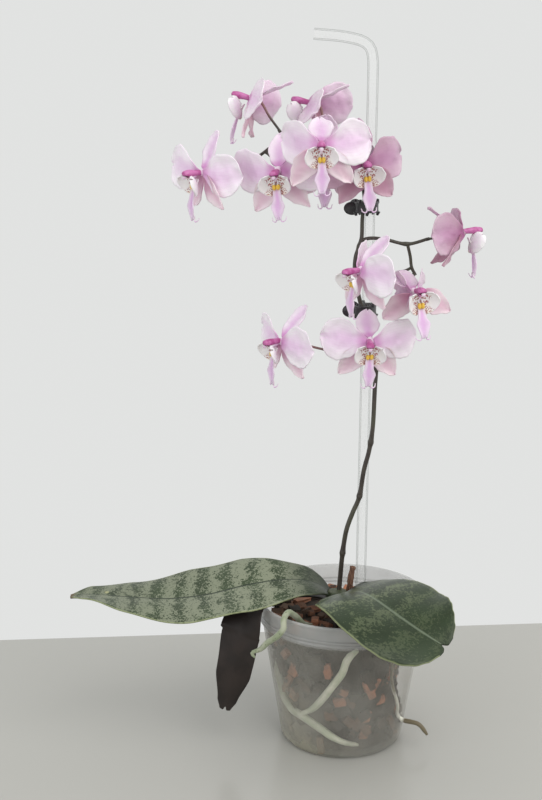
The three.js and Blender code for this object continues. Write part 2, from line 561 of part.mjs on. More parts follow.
// Each bloom: its middle, which way it faces, how far each petal sweeps back, how far the
// dorsal sepal leans back, and where its pedicel leaves the spike. Some also say how far each
// lateral sepal spreads or droops back, and how far each petal's upper edge is twisted back.
const blooms = [
  { name: 'a', at: [-94, -20, 391], yaw: -60, pitch: 2, roll: 8, sweep: [-9, 28], lean: 28, spread: [143, 132],
    from: [-72, -8, 395] },
  { name: 'b', at: [-46, -36, 392], yaw: -14, pitch: 6, roll: -3, sweep: [20, 6], lean: 46, from: [-54, -6, 404] },
  { name: 'c', at: [-20.5, -60, 408.5], yaw: -2, pitch: 4, roll: -2, sweep: [43, 16], lean: 70,
    from: [-29, 1, 411], via: [[-28, -16, 415]] },
  { name: 'd', at: [7.5, -30, 397], yaw: 8, pitch: 6, roll: -7, sweep: [2, 30], lean: 34, from: [9, -3, 380],
    via: [[15, -9, 383], [12.5, -19, 391]] },
  { name: 'e', at: [-63, 2, 437], yaw: -98, pitch: -16, roll: 0, sweep: [30, 22], lean: 62, twist: [0, 8],
    from: [-42, -1, 415], via: [[-51, 0.3, 426]] },
  { name: 'f', at: [-25, 8, 434.5], yaw: -106, pitch: -14, roll: 8, sweep: [52, 24], lean: 60, spread: [128, 120],
    droop: [30, 30], twist: [0, 22], from: [-12, 2, 408], via: [[-16, 4.5, 420]] },
  { name: 'g', at: [73, -12, 354], yaw: 95, pitch: -6, roll: 0, sweep: [57, 4], lean: 59, droop: [36, 36],
    from: [50, -8, 349], via: [[60, -10, 351]] },
  { name: 'h', at: [5, -40, 332], yaw: -60, pitch: 2, roll: 6, sweep: [46, 9], lean: 52, spread: [143, 132],
    from: [6, -3, 328], via: [[13, -14, 328], [14.5, -29, 331]] },
  { name: 'i', at: [39, -48, 320], yaw: 16, pitch: -8, roll: -6, sweep: [90, 62], lean: 72, spread: [136, 121],
    droop: [46, 6], from: [43, -10, 327] },
  { name: 'j', at: [12, -36, 287], yaw: 0, pitch: 6, roll: 1, sweep: [16, 18], lean: 70, from: [17, -3, 284] },
  { name: 'k', at: [-44, -16, 284], yaw: -60, pitch: 2, roll: 8, sweep: [8, 12], lean: 47, spread: [143, 132],
    from: [20, -4, 270], via: [[-22, -10, 279]] },
  { name: 'l', at: [-16, -17, 399], yaw: -10, pitch: 6, roll: 0, sweep: [10, 14], lean: 6, from: [0, -1, 400] },
];

piece('flower_spike', spikeGeometry(blooms), '#4a4540', 0.5);
const claspedFeet = [leafLeft, leafRight, leafHanging].map((leaf) => leafGeometry(leaf, GAP));
piece('crown', crownGeometry([...claspedFeet, stemFoot()]), '#5b6a48', 0.6);

// Each clip sits between the stem and the stake, its long way from one to the other.
for (const [name, z] of [['clip_lower', 302], ['clip_upper', 369]]) {
  const clip = piece(name, clipGeometry(), '#1c1c1e', 0.35);
  const [stakeX, stakeY] = stakeAxis(z);
  const stemAt = path(stemPath).getPoints(400).find((p) => p.z > z);
  clip.position.set((stakeX + stemAt.x) / 2, (stakeY + stemAt.y) / 2, z);
  clip.rotation.set(0, 0, Math.atan2(stakeY - stemAt.y, stakeX - stemAt.x) - Math.PI / 2);
}

const columnShape = columnGeometry();
const lipShape = lipGeometry();

for (const bloom of blooms) {
  const parts = [
    piece(`bloom_${bloom.name}_tepals`, tepalsGeometry(bloom), '#ecd6ea', 0.5),
    piece(`bloom_${bloom.name}_column`, columnShape, '#b93d93', 0.45),
    piece(`bloom_${bloom.name}_lip`, lipShape, '#efe9ec', 0.45),
  ];
  for (const part of parts) {
    part.position.set(...bloom.at);
    part.rotation.copy(turnOf(bloom));
  }
}

export default plant;
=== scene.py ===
# %% [markdown]
# # A potted moth orchid
# This file dresses a imported model of a potted orchid for a close look. The imported model gives the
# size and place of every piece. Each cell below makes one piece finer, in the place of its plain
# solid, and gives it the colour and surface of the real thing. The model is loaded first. The
# finished plant must not grow out of it.

# %% Load the model
import math
import random
from contextlib import contextmanager
import bmesh
import bpy
from mathutils import Matrix, Vector


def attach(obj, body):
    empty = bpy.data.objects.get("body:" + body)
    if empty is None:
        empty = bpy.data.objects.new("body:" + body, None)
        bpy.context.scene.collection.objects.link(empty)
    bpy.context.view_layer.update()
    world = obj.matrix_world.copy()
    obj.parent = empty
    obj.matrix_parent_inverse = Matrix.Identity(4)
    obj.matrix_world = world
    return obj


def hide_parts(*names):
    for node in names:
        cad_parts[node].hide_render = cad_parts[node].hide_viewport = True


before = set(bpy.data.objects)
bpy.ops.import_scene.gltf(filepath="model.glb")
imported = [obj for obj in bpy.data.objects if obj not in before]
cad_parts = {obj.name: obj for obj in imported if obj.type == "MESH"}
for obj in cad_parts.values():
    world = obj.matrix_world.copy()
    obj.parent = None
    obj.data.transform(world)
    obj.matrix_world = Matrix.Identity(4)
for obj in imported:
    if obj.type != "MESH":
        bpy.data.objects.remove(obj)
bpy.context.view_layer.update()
MM = 0.001
scene = bpy.context.scene
print("nodes loaded:", len(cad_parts))

# %% [markdown]
# ## The camera
# The camera comes first, so that every piece can be judged from the same place. Its height, tilt
# and focal length were worked out from the pot: a circle seen from above is an ellipse, and how
# flat the ellipses of rim and foot are gives the height of the eye.

# %% Camera
CAMERA_PLACE = (-0.050, -0.737, 0.402)
CAMERA_TILT = 12.3
FOCAL_PIXELS = 1123
IMAGE_HEIGHT = 800
SENSOR = 24.0

bpy.ops.object.camera_add(location=CAMERA_PLACE, rotation=(math.radians(90 - CAMERA_TILT), 0, 0))
camera = bpy.context.object
camera.data.sensor_fit = "VERTICAL"
camera.data.sensor_height = SENSOR
camera.data.lens = FOCAL_PIXELS * SENSOR / IMAGE_HEIGHT
scene.camera = camera
print("lens", round(camera.data.lens, 2), "mm")

# %% [markdown]
# ## Table and light
# The plant stands on a pale table in soft daylight. A large flat slab is enough for the table,
# and a pale world around it gives even light with no hard edges. Two big area lamps add the
# direction: a broad one from the right, and a weak one from the left that opens the shadows.

# %% Table
TABLE_SIZE = (1.9, 1.5, 0.02)
TABLE_TURN = math.radians(4.3)
BACK_EDGE = Vector((-0.05, 0.170, 0))
TABLE_GAP = 0.0001
middle = BACK_EDGE - 0.5 * TABLE_SIZE[1] * Vector((-math.sin(TABLE_TURN), math.cos(TABLE_TURN), 0))
bpy.ops.mesh.primitive_cube_add(size=1, rotation=(0, 0, TABLE_TURN),
                                location=(middle.x, middle.y, -0.5 * TABLE_SIZE[2] - TABLE_GAP))
table = bpy.context.object
table.name = "table"
table.scale = TABLE_SIZE
bpy.ops.object.transform_apply()
bpy.ops.object.modifier_add(type="BEVEL")
table.modifiers[-1].width = 0.002
bpy.ops.object.modifier_apply(modifier=table.modifiers[-1].name)

table_paint = bpy.data.materials.new("pale table")
table_paint.use_nodes = True
table_shader = table_paint.node_tree.nodes["Principled BSDF"]
table_shader.inputs["Base Color"].default_value = (0.455, 0.45, 0.42, 1)
table_shader.inputs["Roughness"].default_value = 0.22
table.data.materials.append(table_paint)

# %% Light
scene.world = bpy.data.worlds.new("soft room")
scene.world.use_nodes = True
room = scene.world.node_tree.nodes["Background"]
room.inputs["Color"].default_value = (0.90, 0.91, 0.90, 1)
room.inputs["Strength"].default_value = 0.84
PLANT_MIDDLE = Vector((0, 0, 0.25))
for place, size, power, colour in (((0.60, -0.75, 1.15), 1.2, 10, (1.0, 0.985, 0.96)),
                                   ((-0.9, -0.9, 0.7), 1.0, 3.5, (0.94, 0.97, 1.0))):
    turn = (PLANT_MIDDLE - Vector(place)).to_track_quat("-Z", "Y").to_euler()
    bpy.ops.object.light_add(type="AREA", location=place, rotation=turn)
    lamp = bpy.context.object.data
    lamp.size, lamp.energy, lamp.color = size, power, colour
scene.view_settings.view_transform = "Standard"
print("table and lamps placed")

# %% [markdown]
# ## Helpers for shaping
# Shaping by hand in edit mode is always the same few steps: pick the vertices in some place, then
# widen, move or extrude them. `pick` does the picking in code. A path through a few points, with
# its points spaced evenly, serves the roots, the stems and the stake alike.

# %% Shaping helpers
templates = []
TO_METRES = Matrix.Diagonal((MM, MM, MM, 1))


def deselect():
    """Nothing stays selected, so that the next step touches its own piece only."""
    bpy.ops.object.select_all(action="DESELECT")


@contextmanager
def editing():
    """The steps inside happen in edit mode, with everything selected at first."""
    bpy.ops.object.mode_set(mode="EDIT")
    bpy.ops.mesh.select_all(action="SELECT")
    yield
    bpy.ops.object.mode_set(mode="OBJECT")


def pick(test):
    """In edit mode, selects just the vertices whose place passes the test."""
    mesh = bmesh.from_edit_mesh(bpy.context.object.data)
    for vertex in mesh.verts:
        vertex.select = bool(test(vertex.co))
    mesh.select_flush(True)
    mesh.select_flush(False)
    bmesh.update_edit_mesh(bpy.context.object.data)


def cut_across(*heights):
    """In edit mode, cuts the piece level all round at each height."""
    for z in heights:
        bpy.ops.mesh.select_all(action="SELECT")
        bpy.ops.mesh.bisect(plane_co=(0, 0, z), plane_no=(0, 0, 1))


def make_active(piece):
    deselect()
    piece.select_set(True)
    bpy.context.view_layer.objects.active = piece


def use_modifier(piece, kind, **settings):
    """Adds a modifier, sets it and applies it at once."""
    make_active(piece)
    bpy.ops.object.modifier_add(type=kind)
    modifier = piece.modifiers[-1]
    for key, value in settings.items():
        setattr(modifier, key, value)
    bpy.ops.object.modifier_apply(modifier=modifier.name)


def clouds(name, size, kind="GRAYSCALE"):
    """A cloud texture with lumps of about this size, in metres."""
    texture = bpy.data.textures.new(name, "CLOUDS")
    texture.noise_scale, texture.cloud_type = size, kind
    return texture


def displace(piece, texture, strength, mid_level=0.5, **settings):
    use_modifier(piece, "DISPLACE", texture=texture, texture_coords="LOCAL", strength=strength,
                 mid_level=mid_level, **settings)


def thicken(piece, thickness, **settings):
    """Gives a sheet two skins. The second takes the second finish, so both slots must exist."""
    for _ in range(2):
        piece.data.materials.append(None)
    use_modifier(piece, "SOLIDIFY", thickness=thickness, offset=0, material_offset=1,
                 use_even_offset=False, **settings)
    smooth(piece)


def smooth(piece, angle=None):
    make_active(piece)
    if angle is None:
        bpy.ops.object.shade_smooth()
    else:
        bpy.ops.object.shade_smooth_by_angle(angle=math.radians(angle))


def rotation(axis, degrees):
    return Matrix.Rotation(math.radians(degrees), 4, axis)


def ease(low, high, value):
    """0 below low, 1 above high, and a soft step between."""
    share = min(1.0, max(0.0, (value - low) / (high - low)))
    return share * share * (3 - 2 * share)


def profile(*stations):
    """Reads a value from a short list of (station, value) pairs, eased between them."""
    def value_at(at):
        place = next((i for i, (s, _) in enumerate(stations) if s >= at), len(stations) - 1)
        place = max(1, place)
        (s0, v0), (s1, v1) = stations[place - 1], stations[place]
        plain = min(1.0, max(0.0, (at - s0) / (s1 - s0)))
        return v0 + (v1 - v0) * 0.5 * (ease(s0, s1, at) + plain)
    return value_at


def copy_of(shape, matrix, name):
    """A copy with its own mesh, put in its place by moving the mesh itself."""
    piece = shape.copy()
    piece.data = shape.data.copy()
    piece.name = name
    piece.data.transform(matrix)
    piece.hide_render = False
    scene.collection.objects.link(piece)
    return piece


def keep_as_template(piece):
    """A shape that only its copies are shown of. It is removed at the end."""
    piece.hide_render = True
    templates.append(piece)
    return piece


def join(parts, name):
    """Joins several objects into one piece."""
    deselect()
    for part in parts:
        part.select_set(True)
    bpy.context.view_layer.objects.active = parts[0]
    bpy.ops.object.join()
    parts[0].name = name
    parts[0].data.name = name
    return parts[0]


def finish_piece(piece, node):
    """The piece stands in for its solid of the model: it joins the root body, and the solid is
    hidden.
    """
    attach(piece, "root")
    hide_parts(node)


print("helpers ready")

# %% Paths and tubes
CURVE_STEPS = 24


def smooth_path(points, count):
    """count + 1 points, evenly spaced along a smooth curve through the given points (in mm)."""
    given = [Vector(p) for p in points]
    given = [2 * given[0] - given[1]] + given + [2 * given[-1] - given[-2]]
    dense = []
    for i in range(1, len(given) - 2):
        p0, p1, p2, p3 = given[i - 1:i + 3]
        t1 = max((p1 - p0).length, 1e-6) ** 0.5
        t2 = t1 + max((p2 - p1).length, 1e-6) ** 0.5
        t3 = t2 + max((p3 - p2).length, 1e-6) ** 0.5
        for step in range(CURVE_STEPS):
            t = t1 + (t2 - t1) * step / CURVE_STEPS
            a1 = p0 * ((t1 - t) / t1) + p1 * (t / t1)
            a2 = p1 * ((t2 - t) / (t2 - t1)) + p2 * ((t - t1) / (t2 - t1))
            a3 = p2 * ((t3 - t) / (t3 - t2)) + p3 * ((t - t2) / (t3 - t2))
            b1 = a1 * ((t2 - t) / t2) + a2 * (t / t2)
            b2 = a2 * ((t3 - t) / (t3 - t1)) + a3 * ((t - t1) / (t3 - t1))
            dense.append(b1 * ((t2 - t) / (t2 - t1)) + b2 * ((t - t1) / (t2 - t1)))
    dense.append(given[-2])
    lengths = [0.0]
    for a, b in zip(dense, dense[1:]):
        lengths.append(lengths[-1] + (b - a).length)
    spaced = []
    place = 0
    for step in range(count + 1):
        target = lengths[-1] * step / count
        while place < len(dense) - 2 and lengths[place + 1] < target:
            place += 1
        span = max(lengths[place + 1] - lengths[place], 1e-9)
        spaced.append(dense[place].lerp(dense[place + 1], (target - lengths[place]) / span))
    return spaced


def tube(name, path, radius_at, resolution=3, caps=True, blush=None):
    """A round tube along a path in mm. radius_at(0..1) is its radius in mm.

    blush gives a number at both ends of the tube, kept on the mesh for its colour.
    """
    deselect()
    bpy.ops.curve.primitive_nurbs_path_add()
    curve = bpy.context.object.data
    curve.splines.clear()
    line = curve.splines.new("POLY")
    line.points.add(len(path) - 1)
    for i, place in enumerate(path):
        line.points[i].co = (*(place * MM), 1)
        line.points[i].radius = radius_at(i / (len(path) - 1))
    curve.bevel_depth = MM
    curve.bevel_resolution = resolution
    curve.use_fill_caps = caps
    curve.twist_mode = "MINIMUM"
    bpy.ops.object.convert(target="MESH")
    piece = bpy.context.object
    piece.name = name
    with editing():
        bpy.ops.mesh.remove_doubles(threshold=1e-6)
        bpy.ops.mesh.normals_make_consistent(inside=False)
    if blush:
        along = piece.data.attributes.new("blush", "FLOAT", "POINT")
        for vertex in piece.data.vertices:
            near = min(range(len(path)), key=lambda i: (path[i] * MM - vertex.co).length_squared)
            share = (blush[1] - blush[0]) * near / (len(path) - 1)
            along.data[vertex.index].value = blush[0] + share
    bpy.ops.object.shade_smooth()
    return piece


print("tubes ready")

# %% [markdown]
# ## Helpers for finishes
# A pattern on a surface is sums and products of simpler patterns. `Field` stands for one such
# value, so that these can be written as plain arithmetic; each step of it makes one node.
# `Finish` is a material while it is made.

# %% Node helpers


def plug(value, socket):
    """Links a field to a socket, or sets the socket to a plain number or colour."""
    if isinstance(value, Field):
        value.tree.links.new(value.socket, socket)
    elif socket.type == "RGBA":
        socket.default_value = (*value, 1)
    else:
        socket.default_value = value


def add_node(tree, kind, **settings):
    """A node with its inputs and settings by name. In an input's name _ stands for a space."""
    made = tree.nodes.new(kind)
    for key, value in settings.items():
        if key.replace("_", " ") in made.inputs:
            plug(value, made.inputs[key.replace("_", " ")])
        else:
            setattr(made, key, value)
    return made


def fields(made):
    """The outputs of a node, without the empty one that a group's input node ends with."""
    return [Field(socket) for socket in made.outputs if socket.type != "CUSTOM"]


class Field:
    """A number, colour or place that changes over a surface: the output of a node."""

    def __init__(self, socket):
        self.socket, self.tree = socket, socket.id_data

    def maths(self, operation, other=0.5, clamp=False):
        made = add_node(self.tree, "ShaderNodeMath", operation=operation, use_clamp=clamp)
        plug(self, made.inputs[0])
        plug(other, made.inputs[1])
        return Field(made.outputs[0])

    def __add__(self, other):
        return self.maths("ADD", other)

    def __sub__(self, other):
        return self.maths("SUBTRACT", other)

    def __mul__(self, other):
        return self.maths("MULTIPLY", other)

    def away_from(self, centre):
        return (self - centre).maths("ABSOLUTE")

    def remap(self, low, high, to_low=0.0, to_high=1.0):
        """A soft step from to_low, at low and below, to to_high, at high and above."""
        made = add_node(self.tree, "ShaderNodeMapRange", interpolation_type="SMOOTHSTEP",
                        Value=self, From_Min=low, From_Max=high, To_Min=to_low, To_Max=to_high)
        return Field(made.outputs["Result"])

    def mix(self, first, second, mode="MIX"):
        """A colour: the first where this field is 0, the second where it is 1."""
        made = add_node(self.tree, "ShaderNodeMix", data_type="RGBA", blend_type=mode)
        for value, index in ((self, 0), (first, 6), (second, 7)):
            plug(value, made.inputs[index])
        return Field(made.outputs[2])

    def noise(self, scale, detail=3.0, roughness=0.5, distortion=0.0):
        made = add_node(self.tree, "ShaderNodeTexNoise", Vector=self, Scale=scale,
                        Detail=detail, Roughness=roughness, Distortion=distortion)
        return Field(made.outputs["Fac"])

    def dots(self, scale, randomness=1.0):
        """The distance to the nearest of many scattered dots."""
        return Field(add_node(self.tree, "ShaderNodeTexVoronoi", Vector=self, Scale=scale,
                              Randomness=randomness).outputs["Distance"])

    def stretched(self, scale):
        return Field(add_node(self.tree, "ShaderNodeMapping", Vector=self, Scale=scale).outputs[0])

    def split(self):
        return fields(add_node(self.tree, "ShaderNodeSeparateXYZ", Vector=self))


def distance(x, y):
    return (x * x + y * y).maths("SQRT")


class Finish:
    """A material while it is made, with the places that its patterns are read from."""

    def __init__(self, name, roughness):
        self.material = bpy.data.materials.new(name)
        self.material.use_nodes = True
        self.tree = self.material.node_tree
        self.shader = self.tree.nodes["Principled BSDF"]
        places = self.tree.nodes.new("ShaderNodeTexCoord").outputs
        self.place, self.uv = Field(places["Object"]), Field(places["UV"])
        self.set(Roughness=roughness)

    def set(self, **values):
        """Sets or links inputs of the shader."""
        for key, value in values.items():
            plug(value, self.shader.inputs[key.replace("_", " ")])

    def use(self, group, place, **values):
        """Places a shared group and gives its outputs."""
        made = add_node(self.tree, "ShaderNodeGroup", node_tree=group, Vector=place, **values)
        return fields(made)

    def grain(self, scale, blotch_scale):
        return self.use(grain_group, self.place, Scale=scale, Blotch_Scale=blotch_scale)

    def veins(self, lines, wander):
        return self.use(vein_group, self.uv, Lines=lines, Wander=wander)

    def attribute(self, name):
        return Field(add_node(self.tree, "ShaderNodeAttribute", attribute_name=name).outputs["Fac"])

    def facing(self, blend):
        return Field(add_node(self.tree, "ShaderNodeLayerWeight", Blend=blend).outputs["Facing"])

    def glow(self, weight, radius):
        """Light that passes a little way through."""
        self.set(Subsurface_Weight=weight, Subsurface_Radius=radius, Subsurface_Scale=1.0)

    def bump(self, height, strength, distance):
        made = add_node(self.tree, "ShaderNodeBump", Height=height, Strength=strength,
                        Distance=distance)
        self.set(Normal=Field(made.outputs["Normal"]))


def give(piece, *finishes):
    """Puts finishes in the piece's slots, in their order."""
    slots = piece.data.materials
    for i, finish in enumerate(finishes):
        if i < len(slots):
            slots[i] = finish.material
        else:
            slots.append(finish.material)


def new_group(name, **numbers):
    """A shader node group that takes a place and some numbers. Gives it and its inputs."""
    group = bpy.data.node_groups.new(name, "ShaderNodeTree")
    group.interface.new_socket("Vector", in_out="INPUT", socket_type="NodeSocketVector")
    for label, value in numbers.items():
        group.interface.new_socket(label.replace("_", " "), in_out="INPUT",
                                   socket_type="NodeSocketFloat").default_value = value
    return group, fields(group.nodes.new("NodeGroupInput"))


def put_out(group, **outputs):
    """The group's outputs: masks and heights only."""
    for label in outputs:
        group.interface.new_socket(label, in_out="OUTPUT", socket_type="NodeSocketFloat")
    end = group.nodes.new("NodeGroupOutput")
    for label, value in outputs.items():
        plug(value, end.inputs[label])


print("node helpers ready")

# %% [markdown]
# ## Effects that several materials share
# Plant surfaces are never one colour. Three small node groups give what repeats: fine grain and
# soft blotches, veins that run along a blade, and the silver marbling of the leaves. Each material
# mixes its own colours with them. A blade's own map runs 0..1 across and 0..1 from foot to tip.

# %% Shared groups
# Grain: a fine relief and a slower blotch.
grain_group, (place, scale, blotch_scale) = new_group("Plant grain", Scale=900.0, Blotch_Scale=60.0)
put_out(grain_group, Grain=place.noise(scale, 4),
        Blotch=place.noise(blotch_scale, 2).remap(0.35, 0.65))

# Veins: thin lines along a blade, that wander a little.
vein_group, (place, lines, wander) = new_group("Blade veins", Lines=9.0, Wander=0.06)
x, y, _ = place.split()
shift = (place.noise(5.0) - 0.5) * wander
line = ((x + shift) * lines * math.pi).maths("SINE").maths("ABSOLUTE")
put_out(vein_group, Vein=line.remap(0.0, 0.35, 1.0, 0.0), Across=x.away_from(0.5) * 2.0, Along=y)

# Marbling: broken bands straight across a leaf. Coarse noise breaks the bands up, and fine noise
# makes their edges ragged and their middles speckled.
marble_group, (place, bands, length, cover, banding) = new_group(
    "Leaf marbling", Bands=9.0, Length=5.0, Cover=0.5, Banding=0.16)
x, y, _ = place.split()
centred = x.away_from(0.5)
stretched = add_node(marble_group, "ShaderNodeCombineXYZ", X=x * 1.3, Y=y * length)
stretched = Field(stretched.outputs[0])
broken = stretched.noise(4.5, 2.0)
ragged = stretched.noise(19.0, 5.0, 0.76, 0.2)
speckle = stretched.noise(40.0, 3.0, 0.7)
phase = (y + centred * 0.02) * bands + broken * 1.1
wave = (phase * (2 * math.pi)).maths("SINE") * banding
level = wave + ragged * 0.95 + speckle * 0.80 + broken * 0.35 + cover - 1.55
put_out(marble_group, Marbling=level.remap(-0.025, 0.025), Across=centred * 2.0, Along=y)
print("groups:", grain_group.name, "|", vein_group.name, "|", marble_group.name)

# %% [markdown]
# ## The clear pot
# The pot is a thin moulded cup of milky clear plastic. It is drawn as a potter would draw it: one
# ring of the foot, pulled up and widened step by step through flange, ribs and rim, and then down
# again inside. Drain notches in the foot and the small side hole are cut with boolean modifiers.
# Its solid in the model has the same steps, so the new pot keeps the same size.

# %% Pot shape
WALL = 1.2
WALL_TOP_RADIUS = 56.3
FOOT_RADIUS = 43.2
FLANGE_FOOT = 87.0
FOOT_ROUND = 4.0
HOLE_ANGLE = math.radians(-27)
HOLE_HEIGHT = 19.0
HOLE_RADIUS = 3.6
POT_STEPS = [  # (radius, height) of each ring
    (39.2, 0), (41.2, 0.5), (42.5, 1.8), (43.2, 4.0), (49.8, 45.5), (56.3, 86.2), (56.7, 86.9),
    (58.2, 87.2), (58.6, 88.2), (58.5, 89.2), (57.9, 90.0), (58.1, 90.7), (58.8, 91.3),
    (58.7, 92.0), (58.1, 92.6), (58.5, 95.0), (59.3, 100.4), (59.9, 101.0), (60.0, 102.0),
    (59.6, 102.8), (58.9, 103.0), (58.2, 102.6), (57.9, 101.6), (56.7, 91.0), (55.1, 86.0),
    (48.6, 45.5), (42.1, 4.8), (41.0, 2.4), (39.5, 1.6)]


def wall_radius(z):
    """The wall's outer radius, in mm, at a height below the flange."""
    rise = (z - FOOT_ROUND) / (FLANGE_FOOT - FOOT_ROUND)
    return FOOT_RADIUS + (WALL_TOP_RADIUS - FOOT_RADIUS) * rise


deselect()
bpy.ops.mesh.primitive_circle_add(vertices=128, radius=POT_STEPS[0][0] * MM, fill_type="NOTHING")
pot = bpy.context.object
with editing():
    for (r0, z0), (r1, z1) in zip(POT_STEPS, POT_STEPS[1:]):
        bpy.ops.mesh.extrude_region_move(TRANSFORM_OT_translate={"value": (0, 0, (z1 - z0) * MM)})
        bpy.ops.transform.resize(value=(r1 / r0, r1 / r0, 1), center_override=(0, 0, z1 * MM))
    bpy.ops.mesh.edge_face_add()
    bpy.ops.mesh.inset(thickness=0.012)
    bpy.ops.mesh.inset(thickness=0.012)
    pick(lambda co: co.z < 1e-6 and co.length > 0.0391)
    bpy.ops.mesh.edge_face_add()
    bpy.ops.mesh.inset(thickness=0.014)
    bpy.ops.transform.translate(value=(0, 0, 0.0004))
    bpy.ops.mesh.select_all(action="SELECT")
    bpy.ops.mesh.normals_make_consistent(inside=False)
print("pot rings:", len(POT_STEPS))

# %% Notches and side hole
NOTCHES = 5
FIRST_NOTCH = math.radians(-83)
NOTCH_RADIUS = 46.7
NOTCH_SIZE = (0.012, 0.016, 0.0052)
cutters = []
for i in range(NOTCHES):
    angle = FIRST_NOTCH + i * 2 * math.pi / NOTCHES
    bpy.ops.mesh.primitive_cube_add(size=1, rotation=(0, 0, angle), location=(
        NOTCH_RADIUS * MM * math.cos(angle), NOTCH_RADIUS * MM * math.sin(angle), 0))
    bpy.context.object.scale = NOTCH_SIZE
    cutters.append(bpy.context.object)
bpy.ops.mesh.primitive_cylinder_add(
    vertices=32, radius=HOLE_RADIUS * MM, depth=0.014, rotation=(0, math.pi / 2, HOLE_ANGLE),
    location=(wall_radius(HOLE_HEIGHT) * MM * math.cos(HOLE_ANGLE),
              wall_radius(HOLE_HEIGHT) * MM * math.sin(HOLE_ANGLE), HOLE_HEIGHT * MM))
cutters.append(bpy.context.object)
for cutter in cutters:
    use_modifier(pot, "BOOLEAN", operation="DIFFERENCE", object=cutter, solver="EXACT")
    bpy.data.objects.remove(cutter)
pot.name = "clear_pot"
smooth(pot, 32)
finish_piece(pot, "pot")
print("pot faces:", len(pot.data.polygons))

# %% Pot plastic
# Hazier at the edges, the rim and the left, with silt at the foot. Dark lines at the ridges are
# painted shade, where the real ridges bend the light.
clear = Finish("milky clear plastic", 0.22)
grain, blotch = clear.grain(260.0, 34.0)
x, _, z = clear.place.split()
left = x.remap(-0.03, 0.02, 1.0, 0.12)
silt = (z.remap(0.004, 0.020, 1.0, 0.0) * left).maths("MULTIPLY", blotch * 0.6 + 0.4, clamp=True)
rim = z.remap(0.084, 0.090)
tint = silt.mix((0.54, 0.53, 0.48), left.mix((0.16, 0.13, 0.09), (0.50, 0.47, 0.34)))
tint = (rim * 0.7).mix(tint, (0.62, 0.63, 0.63))
cover = clear.facing(0.35).remap(0.35, 1.0, 0.0, 0.40) * x.remap(0.0, 0.045, 1.0, 0.6)
cover = cover + blotch * 0.10 + rim * 0.27
# Painted shade: a dark, more opaque line at each ridge below the rim.
for ridge in (0.0868, 0.0900, 0.0925):
    line = z.away_from(ridge).remap(0.0001, 0.0007, 1.0, 0.0)
    tint = (line * 0.55).mix(tint, (0.20, 0.20, 0.19))
    cover = cover + line * 0.22
veil = x.remap(-0.05, 0.0, 1.0, 0.0) * z.remap(0.015, 0.085, 0.12, 0.03)
cover = cover + silt * 0.45 + veil
clear.set(IOR=1.49, Base_Color=tint, Alpha=cover.maths("ADD", 0.125, clamp=True))
clear.bump(grain, 0.12, 0.0006)
give(pot, clear)
print("pot plastic: haze, silt at the foot, whiter rim")

# %% [markdown]
# ## Roots
# Orchid roots are thick, round and velvety. In the pot they press against the clear wall, which
# is what makes the pot worth looking at. A root is a tube along a smooth path; a soft cloud
# displacement afterwards gives it the slight lumps of a grown thing. The places are measured round
# the pot: an angle, a height, and a distance inside the wall.

# %% Root shapes
ROOT_RADIUS = 2.7
AERIAL_RADIUS = 2.1
THIN_RADIUS = 1.15
ROOT_INSET = WALL + 0.35 + ROOT_RADIUS + 0.4
THIN_INSET = WALL + 0.35 + 1.2 + 0.3


def along_wall(inset, *pairs):
    """Points inside the wall from (angle, height) pairs."""
    points = []
    for angle, z in pairs:
        radius, turn = wall_radius(z) - inset, math.radians(angle)
        points.append((radius * math.cos(turn), radius * math.sin(turn), z))
    return points


ROOT_PATHS = [
    [(-12, -18, 78)] + along_wall(ROOT_INSET + 10, (-76, 86)) + along_wall(
        ROOT_INSET, (-90, 76), (-93, 67), (-101, 56), (-109, 46), (-118, 37), (-127, 31),
        (-135, 27.5)),
    [(-22, -6, 70)] + along_wall(ROOT_INSET + 8, (-172, 64)) + along_wall(
        ROOT_INSET, (-168, 52), (-166, 40), (-158, 31), (-146, 27.5), (-134, 26.5), (-123, 24),
        (-112, 20), (-101, 15), (-88, 11), (-76, 8.5))]
AERIAL_PATH = [
    (-16, -12, 84), (-27, -28, 92), (-34, -36.5, 102), (-38.5, -42.5, 107), (-41.5, -48.5, 105),
    (-42, -52, 99.5), (-46.5, -51.5, 93.7), (-52.5, -49, 88.5), (-57, -47, 83), (-62.5, -46, 79.6),
    (-60.5, -47, 77)]
THIN_PATH = ([(20, -18, 84)] + along_wall(THIN_INSET + 6, (-53, 80)) + along_wall(
    THIN_INSET, (-52, 70), (-50, 58), (-45, 47), (-38, 38), (-31, 28.5), (-27.6, 21.6))
    + along_wall(-0.6, (-27, 18.4)) + [(52, -26, 17.5), (58, -27.5, 10.5)])

lumps = clouds("soft lumps", 0.006)
root_width = profile((0, 0.8), (0.2, 1), (0.8, 1), (0.97, 0.62), (1, 0.3))
thin_width = profile((0, 0.9), (0.75, 1), (0.84, 1.5), (0.97, 1.3), (1, 0.8))


def grown(piece, strength):
    """Soft lumps, as on anything that has grown."""
    displace(piece, lumps, strength)
    smooth(piece)


root_lines = [smooth_path(points, 90) for points in ROOT_PATHS]
pot_roots = join([tube(f"root {i}", line, lambda t: ROOT_RADIUS * 0.97 * root_width(t), 4)
                  for i, line in enumerate(root_lines)], "velvet_roots")
grown(pot_roots, 0.0007)
finish_piece(pot_roots, "roots_in_pot")
aerial = tube("aerial_root", smooth_path(AERIAL_PATH, 80),
              lambda t: AERIAL_RADIUS * root_width(t), 4)
grown(aerial, 0.0008)
finish_piece(aerial, "root_aerial")
thin_line = smooth_path(THIN_PATH, 90)
thin = tube("thin_root", thin_line, lambda t: THIN_RADIUS * thin_width(t), 3)
grown(thin, 0.0003)
finish_piece(thin, "root_thin")
print("roots:", [len(p.data.polygons) for p in (pot_roots, aerial, thin)])

# %% Root skin
# Pale velvet with greener blotches. The aerial root has dark specks too, and the thin root turns
# brown where it leaves the pot.


